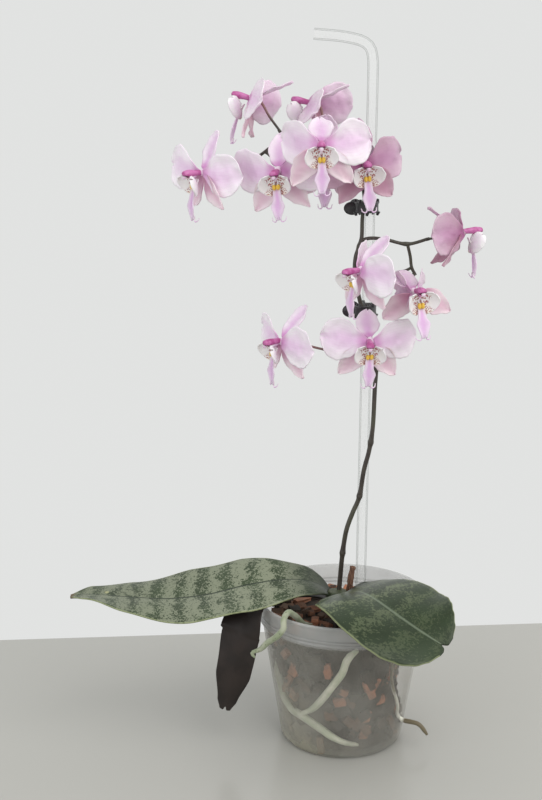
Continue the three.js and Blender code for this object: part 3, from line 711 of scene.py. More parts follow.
def root_skin(piece, name, roughness, pale, green):
    skin = Finish(name, roughness)
    grain, blotch = skin.grain(1400.0, 110.0)
    skin.set(Sheen_Weight=0.25)
    skin.bump(grain, 0.35, 0.0004)
    give(piece, skin)
    return skin, blotch.mix(pale, green)


skin, colour = root_skin(pot_roots, "root skin", 0.6, (0.82, 0.82, 0.66), (0.62, 0.66, 0.48))
skin.set(Base_Color=colour)
skin, colour = root_skin(aerial, "aerial root skin", 0.62, (0.40, 0.42, 0.31), (0.25, 0.29, 0.18))
specks = skin.place.dots(420.0).remap(0.12, 0.26, 0.8, 0.0)
skin.set(Base_Color=specks.mix(colour, (0.10, 0.12, 0.06)))
skin, colour = root_skin(thin, "thin root skin", 0.5, (0.93, 0.92, 0.84), (0.80, 0.80, 0.66))
x, y, _ = skin.place.split()
skin.set(Base_Color=distance(x, y).remap(0.0462, 0.0485).mix(colour, (0.16, 0.13, 0.075)))
print("root skins made")

# %% [markdown]
# ## Bark
# Orchids grow in loose bark. Through the wall one sees the flat sides of hundreds of chips, and
# dark gaps between them. So a core in the darkest chip tone fills the middle: inner bark, and also
# painted shade for those gaps. Chips are scattered over it: flat against the wall, and lying
# anyhow on top. Each chip is a cube with a few cuts and randomly moved corners. It carries a
# number for its colour, so that some chips can be fresh and red while most are dark. No chip is
# put where a root runs.

# %% Bark chips
CHIP_SIZES = ((9.5, 6.5, 3.2), (7.0, 5.5, 3.4), (12.0, 5.0, 2.8))
WALL_CHIPS = 330
TOP_CHIPS = 95
ROOT_CLEARANCE = 6.6
WALL_CLEARANCE = 2.9
TOP_LEVEL = 89.6
TOP_RADIUS = 50
chance = random.Random(11)
chips = []
for i, size in enumerate(CHIP_SIZES):
    deselect()
    bpy.ops.mesh.primitive_cube_add(size=1)
    chip = bpy.context.object
    chip.scale = size
    bpy.ops.object.transform_apply()
    with editing():
        bpy.ops.mesh.subdivide(number_cuts=1)
        bpy.ops.transform.vertex_random(offset=0.75, uniform=0.4, seed=5 + i)
    chips.append(keep_as_template(chip))

rooted = [p for line in root_lines for p in line] + thin_line


def random_turn(axis, most, least=0.0):
    return Matrix.Rotation(chance.uniform(least, most), 3, axis)


def scatter(place, turn):
    """One chip, with its own tone from 0 (dark) to 1 (fresh and red)."""
    chip = copy_of(chance.choice(chips), TO_METRES, "chip")
    chip.data.transform(Matrix.Translation(Vector(place) * MM) @ turn.to_4x4()
                        @ Matrix.Diagonal((*[chance.uniform(0.75, 1.15)] * 3, 1)))
    tone = chip.data.attributes.new("tone", "FLOAT", "FACE")
    tone.data.foreach_set("value", [chance.random() ** 1.8] * len(tone.data))
    return chip


bark = []
while len(bark) < WALL_CHIPS:
    angle = chance.uniform(-math.pi, math.pi)
    z = chance.uniform(6, 84)
    gap_side = ease(0.9, 0.3, abs(angle + 0.35)) * ease(22, 34, z)
    radius = wall_radius(z) - WALL - WALL_CLEARANCE - chance.uniform(0, 2.2) - 9 * gap_side
    place = Vector((radius * math.cos(angle), radius * math.sin(angle), z))
    if min((place - p).length for p in rooted) < ROOT_CLEARANCE:
        continue
    turn = (Matrix.Rotation(angle, 3, "Z") @ Matrix.Rotation(math.pi / 2, 3, "Y")
            @ random_turn("Z", math.pi) @ random_turn("X", 0.16, -0.16))
    bark.append(scatter(place, turn))
for i in range(TOP_CHIPS):
    radius = TOP_RADIUS * math.sqrt(chance.random())
    angle = chance.uniform(-math.pi, math.pi)
    z = TOP_LEVEL + chance.uniform(-1.5, 1.0)
    place = Vector((radius * math.cos(angle), radius * math.sin(angle), z))
    bark.append(scatter(place, random_turn("Z", math.pi) @ random_turn("X", 0.45, -0.45)))
print("chips:", len(bark))

# %% Bark core
# A cylinder cut into rings and tapered like the pot. Its right side is pulled in, where the real
# bark has sunk away from the wall.
CORE_RADIUS = 0.05
CORE_CLEARANCE = 5.2
deselect()
bpy.ops.mesh.primitive_cylinder_add(vertices=72, radius=CORE_RADIUS, depth=0.084,
                                    location=(0, 0, 0.0452))
core = bpy.context.object
bpy.ops.object.transform_apply()
with editing():
    for z in (3.2, 87.2):
        pick(lambda co: abs(co.z - z * MM) < 1e-5)
        share = (wall_radius(z) - WALL - CORE_CLEARANCE) * MM / CORE_RADIUS
        bpy.ops.transform.resize(value=(share, share, 1), center_override=(0, 0, z * MM))
    cut_across(*(z * MM for z in (30, 10, 20, 40, 50, 60, 70, 80)))
    for z, push in ((40, 8), (50, 9), (60, 9), (70, 9), (80, 8), (87.2, 6)):
        pick(lambda co: abs(co.z - z * MM) < 1e-4 and co.x > 0.028 and -0.034 < co.y < 0.012)
        bpy.ops.transform.translate(value=(-push * MM, 0, 0))
# The core keeps tone 0, the darkest: inner bark, and painted shade for the gaps between chips.
core.data.attributes.new("tone", "FLOAT", "FACE")
use_modifier(core, "SUBSURF", subdivision_type="SIMPLE", levels=1, render_levels=1)
displace(core, clouds("crumbs", 0.004), 0.0026, mid_level=0.7)
medium = join([core] + bark, "bark")
smooth(medium, 20)
finish_piece(medium, "medium")
print("bark faces:", len(medium.data.polygons))

# %% Bark surface
# Most chips are dark, some brown and a few red. Those at the lower left have a chalky crust.
dry_bark = Finish("dry bark", 0.85)
grain, blotch = dry_bark.grain(520.0, 150.0)
tone = dry_bark.attribute("tone")
x, _, z = dry_bark.place.split()
colour = tone.remap(0.15, 0.55).mix((0.040, 0.028, 0.022), (0.19, 0.095, 0.055))
colour = tone.remap(0.42, 0.75).mix(colour, (0.40, 0.165, 0.09))
colour = (blotch * 0.45).mix(colour, (0.10, 0.085, 0.07))
chalky = x.remap(-0.045, -0.004, 1.0, 0.0) * z.remap(0.012, 0.065, 0.85, 0.08)
dry_bark.set(Base_Color=chalky.mix(colour, (0.40, 0.36, 0.25)))
dry_bark.bump(grain, 0.7, 0.001)
give(medium, dry_bark)
print("bark: dark, brown and red chips")

# %% [markdown]
# ## Leaves
# A moth orchid's leaf is a thick, waxy tongue. It folds gently along a grooved midrib and runs in
# a long curve out from the crown. A flat grid is the right start: its columns run across the leaf
# and its rows along it, and each row is then laid over the midrib's path at the leaf's width there.
# Solidify makes it thick along the midrib and thin at the rim, and it puts a second, purple-brown
# finish on the underside.

# %% Leaf shape
LEAF_ROWS, LEAF_COLUMNS = 84, 22
MIDRIB_STEPS = 240
TIP_CROWDING = 1.25
FOLD, ARCH = 0.16, 0.0032
WAVES, WAVE_STARTS = 13, (0.8, 2.6)
RIM_THICKNESS = 0.38


def leaf(name, midrib, half_width, width, heading, roll, wave, thickness, notch=0.0):
    """A leaf blade along its midrib, with the top side's finish first and the underside's second.

    width, heading and roll are read at 0 (foot) to 1 (tip). Lengths are in mm, turns in degrees.
    """
    line = smooth_path(midrib, MIDRIB_STEPS)
    deselect()
    bpy.ops.mesh.primitive_grid_add(x_subdivisions=LEAF_COLUMNS, y_subdivisions=LEAF_ROWS, size=2,
                                    calc_uvs=True)
    piece = bpy.context.object
    piece.name = name

    def frame_at(t):
        i = min(len(line) - 2, max(1, round(t * (len(line) - 1))))
        tangent = (line[i + 1] - line[i - 1]).normalized()
        turn = math.radians(heading(t))
        side = Vector((math.cos(turn), math.sin(turn), 0))
        side = (side - tangent * side.dot(tangent)).normalized()
        across = Matrix.Rotation(math.radians(roll(t)), 3, tangent) @ side
        lift = across.cross(tangent).normalized()
        return tangent, across, lift, (1 if lift.z + 0.3 * lift.y >= 0 else -1)

    facing = frame_at(0.5)[3]
    thick = piece.vertex_groups.new(name="midrib")
    for vertex in piece.data.vertices:
        v, u = facing * vertex.co.x, (vertex.co.y + 1) / 2
        u = 1 - (1 - u) ** TIP_CROWDING
        tangent, across, lift, up = frame_at(u)
        reach = half_width * width(u) * v
        fold = FOLD * (math.sqrt(reach * reach + 1.2) - 1.1) - ARCH * reach * reach
        ripple = wave * v * v * math.sin(u * WAVES + WAVE_STARTS[0 if v > 0 else 1])
        cut = notch * math.exp(-v * v * 30) * ease(0.86, 1, u)
        i = u * (len(line) - 1)
        low = min(int(i), len(line) - 2)
        spot = line[low].lerp(line[low + 1], i - low)
        spot = spot + across * reach + lift * up * (fold + ripple) - tangent * cut
        vertex.co = spot * MM
        thick.add([vertex.index], max(0.0, 1 - v * v), "REPLACE")
    thicken(piece, thickness * MM, vertex_group="midrib", thickness_vertex_group=RIM_THICKNESS)
    return piece


leaf_left = leaf(
    "leaf_silver", half_width=31, wave=1.6, thickness=2.2, heading=lambda t: 92,
    midrib=[(-9, -1, 101), (-14, -3, 108), (-25, -6, 114), (-42, -9, 116), (-66, -11, 113),
            (-92, -13, 107), (-120, -14, 104), (-150, -14, 105.5), (-176, -12, 106.5),
            (-188, -10, 104.5)],
    width=profile((0, 0.12), (0.12, 0.5), (0.35, 0.98), (0.55, 1), (0.78, 0.72), (0.93, 0.36),
                  (1, 0.03)),
    roll=profile((0, -4), (0.25, -20), (0.5, -12), (0.8, -6), (1, 0)))
leaf_right = leaf(
    "leaf_green", half_width=38, wave=1.2, thickness=2.2, notch=4, heading=lambda t: 223,
    midrib=[(1, -6, 101), (2, -12, 108), (8, -22, 112.5), (14, -38, 116.7), (22.5, -54.8, 116.8),
            (33, -70, 114), (45.5, -82.6, 109.5), (58.5, -91.5, 104.3)],
    width=profile((0, 0.1), (0.08, 0.46), (0.16, 0.74), (0.27, 0.89), (0.4, 0.97), (0.56, 1),
                  (0.68, 0.96), (0.78, 0.88), (0.86, 0.76), (0.92, 0.61), (0.97, 0.42), (1, 0.2)),
    roll=profile((0, 4), (0.3, 0), (0.65, 12), (1, 30)))
leaf_down = leaf(
    "leaf_old", half_width=15, wave=1.2, thickness=1.6, notch=3, roll=lambda t: 0,
    midrib=[(-9, 4, 97), (-20, 3, 102), (-36, 0, 105), (-51, -9, 106.6), (-63, -20, 101.5),
            (-70, -26, 88), (-74, -28, 66), (-78, -27, 46), (-82, -25, 28)],
    width=profile((0, 0.3), (0.2, 0.75), (0.5, 1), (0.8, 0.8), (0.95, 0.45), (1, 0.25)),
    heading=profile((0, 90), (0.35, 100), (0.6, 160), (1, 175)))
finish_piece(leaf_left, "leaf_left")
finish_piece(leaf_right, "leaf_right")
finish_piece(leaf_down, "leaf_hanging")
print("leaf faces:", [len(p.data.polygons) for p in (leaf_left, leaf_right, leaf_down)])

# %% Leaf finishes
SCAR_PLACE = (0.62, 0.80)


def leaf_top(name, silver, green, midrib, rib_share, fade, **marbling):
    """Waxy leaf with silver marbling. fade says how much of the silver is lost towards the tip."""
    top = Finish(name, 0.38)
    share, across, along = top.use(marble_group, top.uv, **marbling)
    grain, blotch = top.grain(1100.0, 45.0)
    share = share * along.remap(0.25, 0.75, 1.0, 1.0 - fade)
    colour = (share * 0.88).mix(blotch.mix(green, [0.72 * c for c in green]), silver)
    rib = across.remap(0.014, 0.036, rib_share, 0.0)
    colour = rib.mix(colour, midrib)
    colour = across.remap(0.965, 0.995, 0.0, 0.6).mix(colour, (0.34, 0.38, 0.19))
    # Painted shade: near-black at the foot of the blade, where the leaves meet in the crown.
    colour = along.remap(0.02, 0.22, 0.92, 0.0).mix(colour, (0.014, 0.021, 0.012))
    top.set(Base_Color=colour, Specular_IOR_Level=0.36, Coat_Weight=0.06, Coat_Roughness=0.3)
    top.bump(grain * 0.5 + rib * -0.8, 0.25, 0.0008)
    return top, colour


def leaf_under(name, colour, roughness):
    under = Finish(name, roughness)
    vein, _, _ = under.veins(22.0, 0.03)
    _, blotch = under.grain(900.0, 70.0)
    mixed = (vein * 0.18).mix(blotch.mix(colour, [0.6 * c for c in colour]),
                              [1.6 * c for c in colour])
    under.set(Base_Color=mixed, Specular_IOR_Level=0.35)
    under.bump(vein, 0.2, 0.0006)
    return under


green_top, _ = leaf_top(
    "green leaf", silver=(0.135, 0.165, 0.085), green=(0.022, 0.040, 0.014), fade=0.70,
    midrib=(0.19, 0.235, 0.16), rib_share=0.55, Bands=5.0, Length=1.7, Cover=0.45, Banding=0.07)
silver_top, colour = leaf_top(
    "silver leaf", silver=(0.245, 0.268, 0.185), green=(0.040, 0.062, 0.026), fade=0.15,
    midrib=(0.020, 0.032, 0.018), rib_share=0.9, Bands=12.0, Length=4.2, Cover=0.52, Banding=0.078)
# The silver leaf's tip has dried, and a small pale scar sits before it.
x, y, _ = silver_top.uv.split()
scar = distance((x - SCAR_PLACE[0]) * 30, (y - SCAR_PLACE[1]) * 150)
colour = y.remap(0.945, 0.99, 0.0, 0.8).mix(colour, (0.12, 0.075, 0.04))
silver_top.set(Base_Color=scar.remap(0.8, 1.9, 0.8, 0.0).mix(colour, (0.42, 0.42, 0.22)))
under = leaf_under("leaf underside", (0.075, 0.05, 0.046), 0.45)
old_leaf = leaf_under("old leaf", (0.026, 0.018, 0.015), 0.5)
give(leaf_left, silver_top, under)
give(leaf_right, green_top, under)
give(leaf_down, old_leaf, old_leaf)
print("leaf finishes made")

# %% [markdown]
# ## Crown and dried stub
# The leaves clasp a short stem, the crown, and an old flower stem has dried to a brown stub behind
# it. Both are half hidden, but the pot can be turned, so they are finished all round. The crown is
# a cylinder with rings pulled in and out where old leaf sheaths end. The stub is a bent tube whose
# torn top comes from moving the last corners up and down.

# %% Crown
CROWN_PLACE = (-0.0038, -0.0012, 0.088)
CROWN_RINGS = ((70, 4.6), (76, 6.4), (82, 8.0), (84, 7.1), (91, 8.6), (93, 7.7), (100, 8.4),
               (102, 7.6), (106, 6.8))  # (height, radius)
deselect()
bpy.ops.mesh.primitive_cylinder_add(vertices=40, radius=1, depth=0.036, location=CROWN_PLACE)
crown = bpy.context.object
bpy.ops.object.transform_apply()
with editing():
    cut_across(*(z * MM for z, _ in CROWN_RINGS[1:-1]))
    for z, radius in CROWN_RINGS:
        pick(lambda co: abs(co.z - z * MM) < 1e-5)
        bpy.ops.transform.resize(value=(radius * MM, 0.9 * radius * MM, 1),
                                 center_override=(*CROWN_PLACE[:2], 0))
crown.name = "crown_sheaths"
use_modifier(crown, "BEVEL", width=0.0012, segments=3, limit_method="ANGLE")
use_modifier(crown, "SUBSURF", levels=1, render_levels=1)
grown(crown, 0.0008)
finish_piece(crown, "crown")

sheath = Finish("leaf sheath", 0.5)
grain, blotch = sheath.grain(800.0, 120.0)
_, _, z = sheath.place.split()
colour = blotch.mix((0.040, 0.052, 0.024), (0.065, 0.075, 0.038))
sheath.set(Base_Color=z.remap(0.080, 0.096, 1.0, 0.0).mix(colour, (0.09, 0.062, 0.038)))
sheath.bump(grain, 0.4, 0.0008)
give(crown, sheath)
print("crown rings:", len(CROWN_RINGS))

# %% Dried stub
STUB_PATH = [(5, 12, 84), (5, 8, 98), (5.5, 4, 110), (7, 2, 122)]
stub_width = profile((0, 2.3), (0.6, 2.3), (0.85, 2.1), (1, 1.7))
stub = tube("dried_stem_stub", smooth_path(STUB_PATH, 26), stub_width, 4)
with editing():
    pick(lambda co: co.z > 0.1195)
    bpy.ops.transform.vertex_random(offset=0.0011, uniform=0.2, seed=4)
grown(stub, 0.0014)
finish_piece(stub, "dried_stub")
dry = Finish("dried stem", 0.8)
fibres = dry.place.stretched((1600, 1600, 90)).noise(1.0, 4.0)
dry.set(Base_Color=fibres.remap(0.35, 0.7).mix((0.11, 0.05, 0.032), (0.26, 0.14, 0.085)))
dry.bump(fibres, 0.7, 0.0008)
give(stub, dry)
print("stub made")

# %% [markdown]
# ## Stake
# The stake is a clear plastic tube with its top bent over, so that nobody leans into its end. A
# bent curve gives the tube, and Solidify turns it into a real wall with an open end. The wall
# matters: it is what draws the two bright lines along each side of a clear tube.

# %% Stake
STAKE_RADIUS = 3.65
STAKE_WALL = 0.9


def stake_axis(z):
    """The middle of the stake's straight part at a height, in mm."""
    return (13 + 2 * (z - 120) / 340, 6, z)


STAKE_PATH = [stake_axis(z) for z in (*range(10, 411, 50), 452)] + [
    (14.8, 6, 461), (13.0, 6, 468.5), (8.5, 6, 472.3), (2, 6, 474.2), (-6, 6, 475.6), (-23, 6, 477)]
stake = tube("clear_stake", smooth_path(STAKE_PATH, 150), lambda t: STAKE_RADIUS, 6, caps=False)
use_modifier(stake, "SOLIDIFY", thickness=STAKE_WALL * MM, offset=-1)
smooth(stake, 40)
finish_piece(stake, "stake")
clear_tube = Finish("clear tube", 0.10)
_, blotch = clear_tube.grain(300.0, 22.0)
edge = clear_tube.facing(0.5)
# Painted shade: the edges, where a clear tube bends the light away, are dark grey-green and more
# opaque.
colour = edge.remap(0.25, 0.60).mix((0.90, 0.92, 0.91), (0.27, 0.30, 0.28))
cover = edge.remap(0.30, 0.85, 0.0, 0.42) + blotch * 0.02 + 0.03
clear_tube.set(IOR=1.49, Base_Color=colour, Alpha=cover)
give(stake, clear_tube)
print("stake faces:", len(stake.data.polygons))

# %% [markdown]
# ## The twelve blooms, as places and turns
# Each bloom has a place, three turns and a few habits of its own: how far each petal sweeps back
# and twists, how far the upper sepal leans back, how wide the lower two spread and how far they
# droop back. They are the same numbers as in the model. Each bloom also has a share of painted
# shade, from 0 in full light to 1 deep in shade, that darkens its petals. In its own frame a bloom
# faces -Y with its upper sepal along +Z.

# %% Bloom list
# The number after the lean is each bloom's share of painted shade: 0 in full light, 1 for blooms d
# and g, deep in shade.
BLOOMS = {
    "a": dict(at=(-94, -20, 391), turn=(-60, 2, 8), sweep=(-9, 28), lean=28, painted_shade=0.0,
              spread=(143, 132), start=(-72, -8, 395)),
    "b": dict(at=(-46, -36, 392), turn=(-14, 6, -3), sweep=(20, 6), lean=46, painted_shade=0.1,
              start=(-54, -6, 404)),
    "c": dict(at=(-20.5, -60, 408.5), turn=(-2, 4, -2), sweep=(43, 16), lean=70, painted_shade=0.1,
              start=(-29, 1, 411), via=[(-28, -16, 415)]),
    "d": dict(at=(7.5, -30, 397), turn=(8, 6, -7), sweep=(2, 30), lean=34, painted_shade=1.0,
              start=(9, -3, 380), via=[(15, -9, 383), (12.5, -19, 391)]),
    "e": dict(at=(-63, 2, 437), turn=(-98, -16, 0), sweep=(30, 22), lean=62, painted_shade=0.2,
              twist=(0, 8), start=(-42, -1, 415), via=[(-51, 0.3, 426)]),
    "f": dict(at=(-25, 8, 434.5), turn=(-106, -14, 8), sweep=(52, 24), lean=60, painted_shade=0.3,
              spread=(128, 120), droop=(30, 30), twist=(0, 22), start=(-12, 2, 408),
              via=[(-16, 4.5, 420)]),
    "g": dict(at=(73, -12, 354), turn=(95, -6, 0), sweep=(57, 4), lean=59, painted_shade=1.0,
              droop=(36, 36), start=(50, -8, 349), via=[(60, -10, 351)]),
    "h": dict(at=(5, -40, 332), turn=(-60, 2, 6), sweep=(46, 9), lean=52, painted_shade=0.0,
              spread=(143, 132), start=(6, -3, 328), via=[(13, -14, 328), (14.5, -29, 331)]),
    "i": dict(at=(39, -48, 320), turn=(16, -8, -6), sweep=(90, 62), lean=72, painted_shade=0.3,
              spread=(136, 121), droop=(46, 6), start=(43, -10, 327)),
    "j": dict(at=(12, -36, 287), turn=(0, 6, 1), sweep=(16, 18), lean=70, painted_shade=0.1,
              start=(17, -3, 284)),
    "k": dict(at=(-44, -16, 284), turn=(-60, 2, 8), sweep=(8, 12), lean=47, painted_shade=0.0,
              spread=(143, 132), start=(20, -4, 270), via=[(-22, -10, 279)]),
    "l": dict(at=(-16, -17, 399), turn=(-10, 6, 0), sweep=(10, 14), lean=6, painted_shade=0.35,
              start=(0, -1, 400))}
USUAL_HABITS = dict(spread=(143, 143), droop=(6, 6), twist=(0, 0))
RECEPTACLE_BACK = 3.6
TEPAL_FOOT = 2.0


def bloom_turn(bloom):
    """Yaw about Z, then a nod, then a roll."""
    yaw, pitch, roll = bloom["turn"]
    return rotation("Z", yaw) @ rotation("X", pitch) @ rotation("Y", roll)


def back_of(bloom, distance):
    """The place where the bloom's stalk meets its back, and points further behind it."""
    return Vector(bloom["at"]) + bloom_turn(bloom) @ Vector((0, RECEPTACLE_BACK + distance, 0))


print("blooms:", ", ".join(BLOOMS))

# %% [markdown]
# ## Flower spike
# The spike is one grown stem: dark, a little glossy, thicker at each joint, with a small dry
# bract there. A side branch and twelve short stalks leave it, paler and flushed with pink where
# they reach a bloom. Each is a tapered tube. A number along every stalk, 0 at the stem and 1 at
# the bloom, lets one material run from the dark stem into the pale stalk.

# %% Spike
STEM = [(-3, 1, 98), (-2, 1, 112), (-1, 0, 127), (0, -1, 138), (2, -2, 151), (6, -2, 163),
        (10, -2, 173), (13, -4, 194), (16, -5, 207), (18, -6, 222), (19, -6, 250), (19.5, -5, 266),
        (16, -4, 282), (11.5, -3, 298), (8, -3, 310), (5, -3, 324), (5, -3, 337), (8.5, -3, 348),
        (9, -3, 362), (10, -3, 376), (7, -3, 388), (0, -1, 400), (-12, 1, 407), (-27, 1, 411),
        (-41, -1, 415), (-49, -4, 408), (-60, -6, 400), (-72, -8, 395)]
STEM_STEPS = 300
BRANCH = [(8.5, -3, 348), (14, -5, 349.5), (23, -7, 349), (38, -8, 346), (52, -8, 349.5)]
TWIG = [(38, -8, 346), (40, -8, 338), (41, -9, 331), (43.5, -10, 326)]
CUT_TWIG = [(41, -9, 331), (37, -9, 329), (32, -9, 328)]
JOINTS = (0.09, 0.2, 0.3, 0.43, 0.52, 0.64)
JOINT_SWELLING = 0.62
STEM_BRACT, SMALL_STEM_BRACT, STALK_BRACT = (2.5, 7.5), (2.5, 5.0), (1.7, 4.2)  # width, length

stem_base = profile((0, 1.8), (0.5, 1.55), (0.75, 1.25), (1, 1.0))
stalk_width = profile((0, 1.3), (0.12, 0.85), (0.7, 0.85), (1, 1.15))


def swelling(t, middle, half_width):
    return math.exp(-((t - middle) / half_width) ** 2)


def stem_width(t):
    joint = max(swelling(t, j, 0.0035) + 0.35 * swelling(t - 0.006, j, 0.006) for j in JOINTS)
    return stem_base(t) + JOINT_SWELLING * joint


stem_line = smooth_path(STEM, STEM_STEPS)
branch_line = smooth_path(BRANCH, 60)
twig_line = smooth_path(TWIG, 30)
spike_parts = [
    tube("stem", stem_line, stem_width, blush=(0, 0)),
    tube("branch", branch_line, lambda t: 1.25 - 0.15 * t + 0.5 * swelling(t, 0.66, 0.05),
         blush=(0, 0.1)),
    tube("twig", twig_line, lambda t: 1.1, blush=(0, 0.1)),
    tube("cut twig", smooth_path(CUT_TWIG, 12), lambda t: 1.0 + 0.25 * ease(0.8, 1, t),
         blush=(0, 0.1))]
axes = stem_line + branch_line + twig_line
stalk_starts = []
for letter, bloom in BLOOMS.items():
    start = min(axes, key=lambda p: (p - Vector(bloom["start"])).length)
    via = bloom.get("via") or [back_of(bloom, 0.3 * (start - Vector(bloom["at"])).length)]
    line = smooth_path([start, *via, back_of(bloom, 3), back_of(bloom, -0.6)], 40)
    stalk_starts.append((line[1], (line[3] - line[0]).normalized()))
    spike_parts.append(tube(f"stalk {letter}", line, stalk_width, blush=(0, 1)))
print("stalks:", len(stalk_starts))

# %% Bracts
deselect()
bpy.ops.mesh.primitive_cone_add(vertices=10, radius1=1.0, radius2=0.08, depth=1.0,
                                location=(0, 0, 0.5))
bract = keep_as_template(bpy.context.object)
bpy.ops.object.transform_apply()
with editing():
    cut_across(0.45)
    pick(lambda co: abs(co.z - 0.45) < 1e-4)
    bpy.ops.transform.translate(value=(0.22, 0, 0))
    bpy.ops.transform.resize(value=(1.15, 1.35, 1), center_override=(0.22, 0, 0.45))
    pick(lambda co: co.z > 0.9)
    bpy.ops.transform.translate(value=(0.75, 0, 0))


def put_bract(place, along, spin, width, length):
    """A bract with its wide end on the stem, its tip along the stem."""
    turn = along.to_track_quat("Z", "Y").to_matrix().to_4x4()
    size = Matrix.Diagonal((width * MM, 0.8 * width * MM, length * MM, 1))
    matrix = Matrix.Translation(place * MM) @ turn @ rotation("Z", spin) @ size
    piece = copy_of(bract, matrix, "bract")
    piece.data.attributes.new("blush", "FLOAT", "POINT")
    spike_parts.append(piece)


for i, joint in enumerate(JOINTS):
    at = round(joint * STEM_STEPS)
    along = (stem_line[at + 2] - stem_line[at]).normalized()
    put_bract(stem_line[at], along, 180 * (i % 2), *(STEM_BRACT if i < 3 else SMALL_STEM_BRACT))
for i, (place, along) in enumerate(stalk_starts):
    put_bract(place, along, 60 * i, *STALK_BRACT)
spike = join(spike_parts, "stem_and_stalks")
use_modifier(spike, "SUBSURF", levels=1, render_levels=1)
smooth(spike)
finish_piece(spike, "flower_spike")
print("spike faces:", len(spike.data.polygons))

# %% Stem skin
stem_skin = Finish("stem skin", 0.42)
streaks = stem_skin.place.stretched((900, 900, 120)).noise(1.0)
mossy = stem_skin.place.noise(55.0, 2.0).remap(0.45, 0.75, 0.0, 0.6)
blush = stem_skin.attribute("blush")
dark = streaks.remap(0.3, 0.7).mix((0.030, 0.023, 0.020), (0.062, 0.051, 0.041))
colour = blush.remap(0.25, 0.8).mix(mossy.mix(dark, (0.070, 0.076, 0.042)), (0.30, 0.17, 0.16))
stem_skin.set(Base_Color=blush.remap(0.8, 1.0).mix(colour, (0.66, 0.42, 0.52)))
stem_skin.bump(streaks, 0.2, 0.0004)
give(spike, stem_skin)
print("stem skin made")

# %% [markdown]
# ## Petals and sepals
# A petal is a soft blade: narrow at its claw, broad, and rounded at the tip, with its edges coming
# a little forward. A flat grid standing on its foot is shaped row by row in edit mode, as one
# would with proportional scaling: each row is widened to the outline and pushed to the bend. The
# grid's own map stays on it, so that veins can later follow the blade. Solidify then gives it two
# skins, with one finish for the face and another for the back.

# %% Blade shaping


def blade(name, length, width, columns, rows, outline, bend, cup, crowd=1.45, skin=0.55):
    """A closed blade along +Z that faces -Y, in mm until it is copied into place.

    outline and bend are read at 0 (foot) to 1 (tip). With crowd above 1 the rows crowd at the tip.
    """
    deselect()
    bpy.ops.mesh.primitive_grid_add(x_subdivisions=columns, y_subdivisions=rows, size=1,
                                    calc_uvs=True, rotation=(math.pi / 2, 0, 0))
    piece = bpy.context.object
    piece.name = name
    bpy.ops.object.transform_apply()
    with editing():
        bpy.ops.transform.translate(value=(0, 0, 0.5))
        bpy.ops.transform.resize(value=(width, 1, length), center_override=(0, 0, 0))
        for column in range(columns + 1):
            x = width * (column / columns - 0.5)
            pick(lambda co: abs(co.x - x) < 1e-3)
            bpy.ops.transform.translate(value=(0, cup * (2 * x / width) ** 2, 0))
        for row in range(rows, -1, -1):
            flat = row / rows
            u = 1 - (1 - flat) ** crowd
            z = length * u
            pick(lambda co: abs(co.z - length * flat) < 1e-3)
            bpy.ops.transform.translate(value=(0, 0, z - length * flat))
            bpy.ops.transform.resize(value=(outline(u), 0.25 + 0.75 * u, 1),
                                     center_override=(0, 0, z))
            bpy.ops.transform.translate(value=(0, bend(u), 0))
    use_modifier(piece, "SUBSURF", levels=1, render_levels=1)
    thicken(piece, skin)
    return keep_as_template(piece)


@contextmanager
def ball(segments, rings, size, place=(0, 0, 0)):
    """A ball scaled to size, in mm. The steps inside happen in edit mode."""
    deselect()
    bpy.ops.mesh.primitive_uv_sphere_add(segments=segments, ring_count=rings, radius=1,
                                         location=place)
    piece = keep_as_template(bpy.context.object)
    bpy.ops.object.transform_apply()
    with editing():
        bpy.ops.transform.resize(value=size, center_override=place)
        yield piece
    smooth(piece)


petal_outline = profile((0, 0.15), (0.12, 0.34), (0.36, 0.86), (0.6, 1), (0.8, 0.92), (0.92, 0.68),
                        (0.98, 0.36), (1, 0.12))
sepal_outline = profile((0, 0.22), (0.2, 0.72), (0.5, 1), (0.78, 0.84), (0.93, 0.50), (1, 0.10))
pointed_outline = profile((0, 0.24), (0.2, 0.78), (0.45, 1), (0.7, 0.80), (0.88, 0.42), (1, 0.05))
petal_shape = blade("petal", 29.5, 27.5, 12, 16, petal_outline,
                    lambda u: 1.6 * u * u - 0.8 * math.sin(3 * u), -1.9)
dorsal_shape = blade("upper sepal", 26, 15.5, 8, 14, sepal_outline, lambda u: -2 * u * u, -1.8)
lateral_shape = blade("lower sepal", 27.5, 15.5, 8, 14, pointed_outline,
                      lambda u: 1.5 * u * u, -1.6)
with ball(20, 12, (2.5, 3.0, 2.5), (0, 0.9, 0)) as heart_shape:
    pick(lambda co: co.y > 2.6)
    bpy.ops.transform.resize(value=(0.62, 1.0, 0.62), center_override=(0, 0.9, 0))
print("petal faces:", len(petal_shape.data.polygons),
      "sepal faces:", len(dorsal_shape.data.polygons))

# %% [markdown]
# ## Petal finishes
# The petals are pale pink, almost white at the rim, with a lilac flush along the middle and a
# magenta spot at the claw. Fine veins run from the claw to the rim. Light passes through them a
# little, so each finish has a touch of subsurface scattering. Backs are pinker than faces, and the
# lower sepals are tinged with rose-brown. Blooms that lie in shade get painted shade: their colour
# is multiplied towards a dark mauve, most at the claw.

# %% Petal materials
# Painted shade: the mauve that a shaded bloom's colour is multiplied by.
PAINTED_SHADE_TINT = (0.50, 0.33, 0.40)


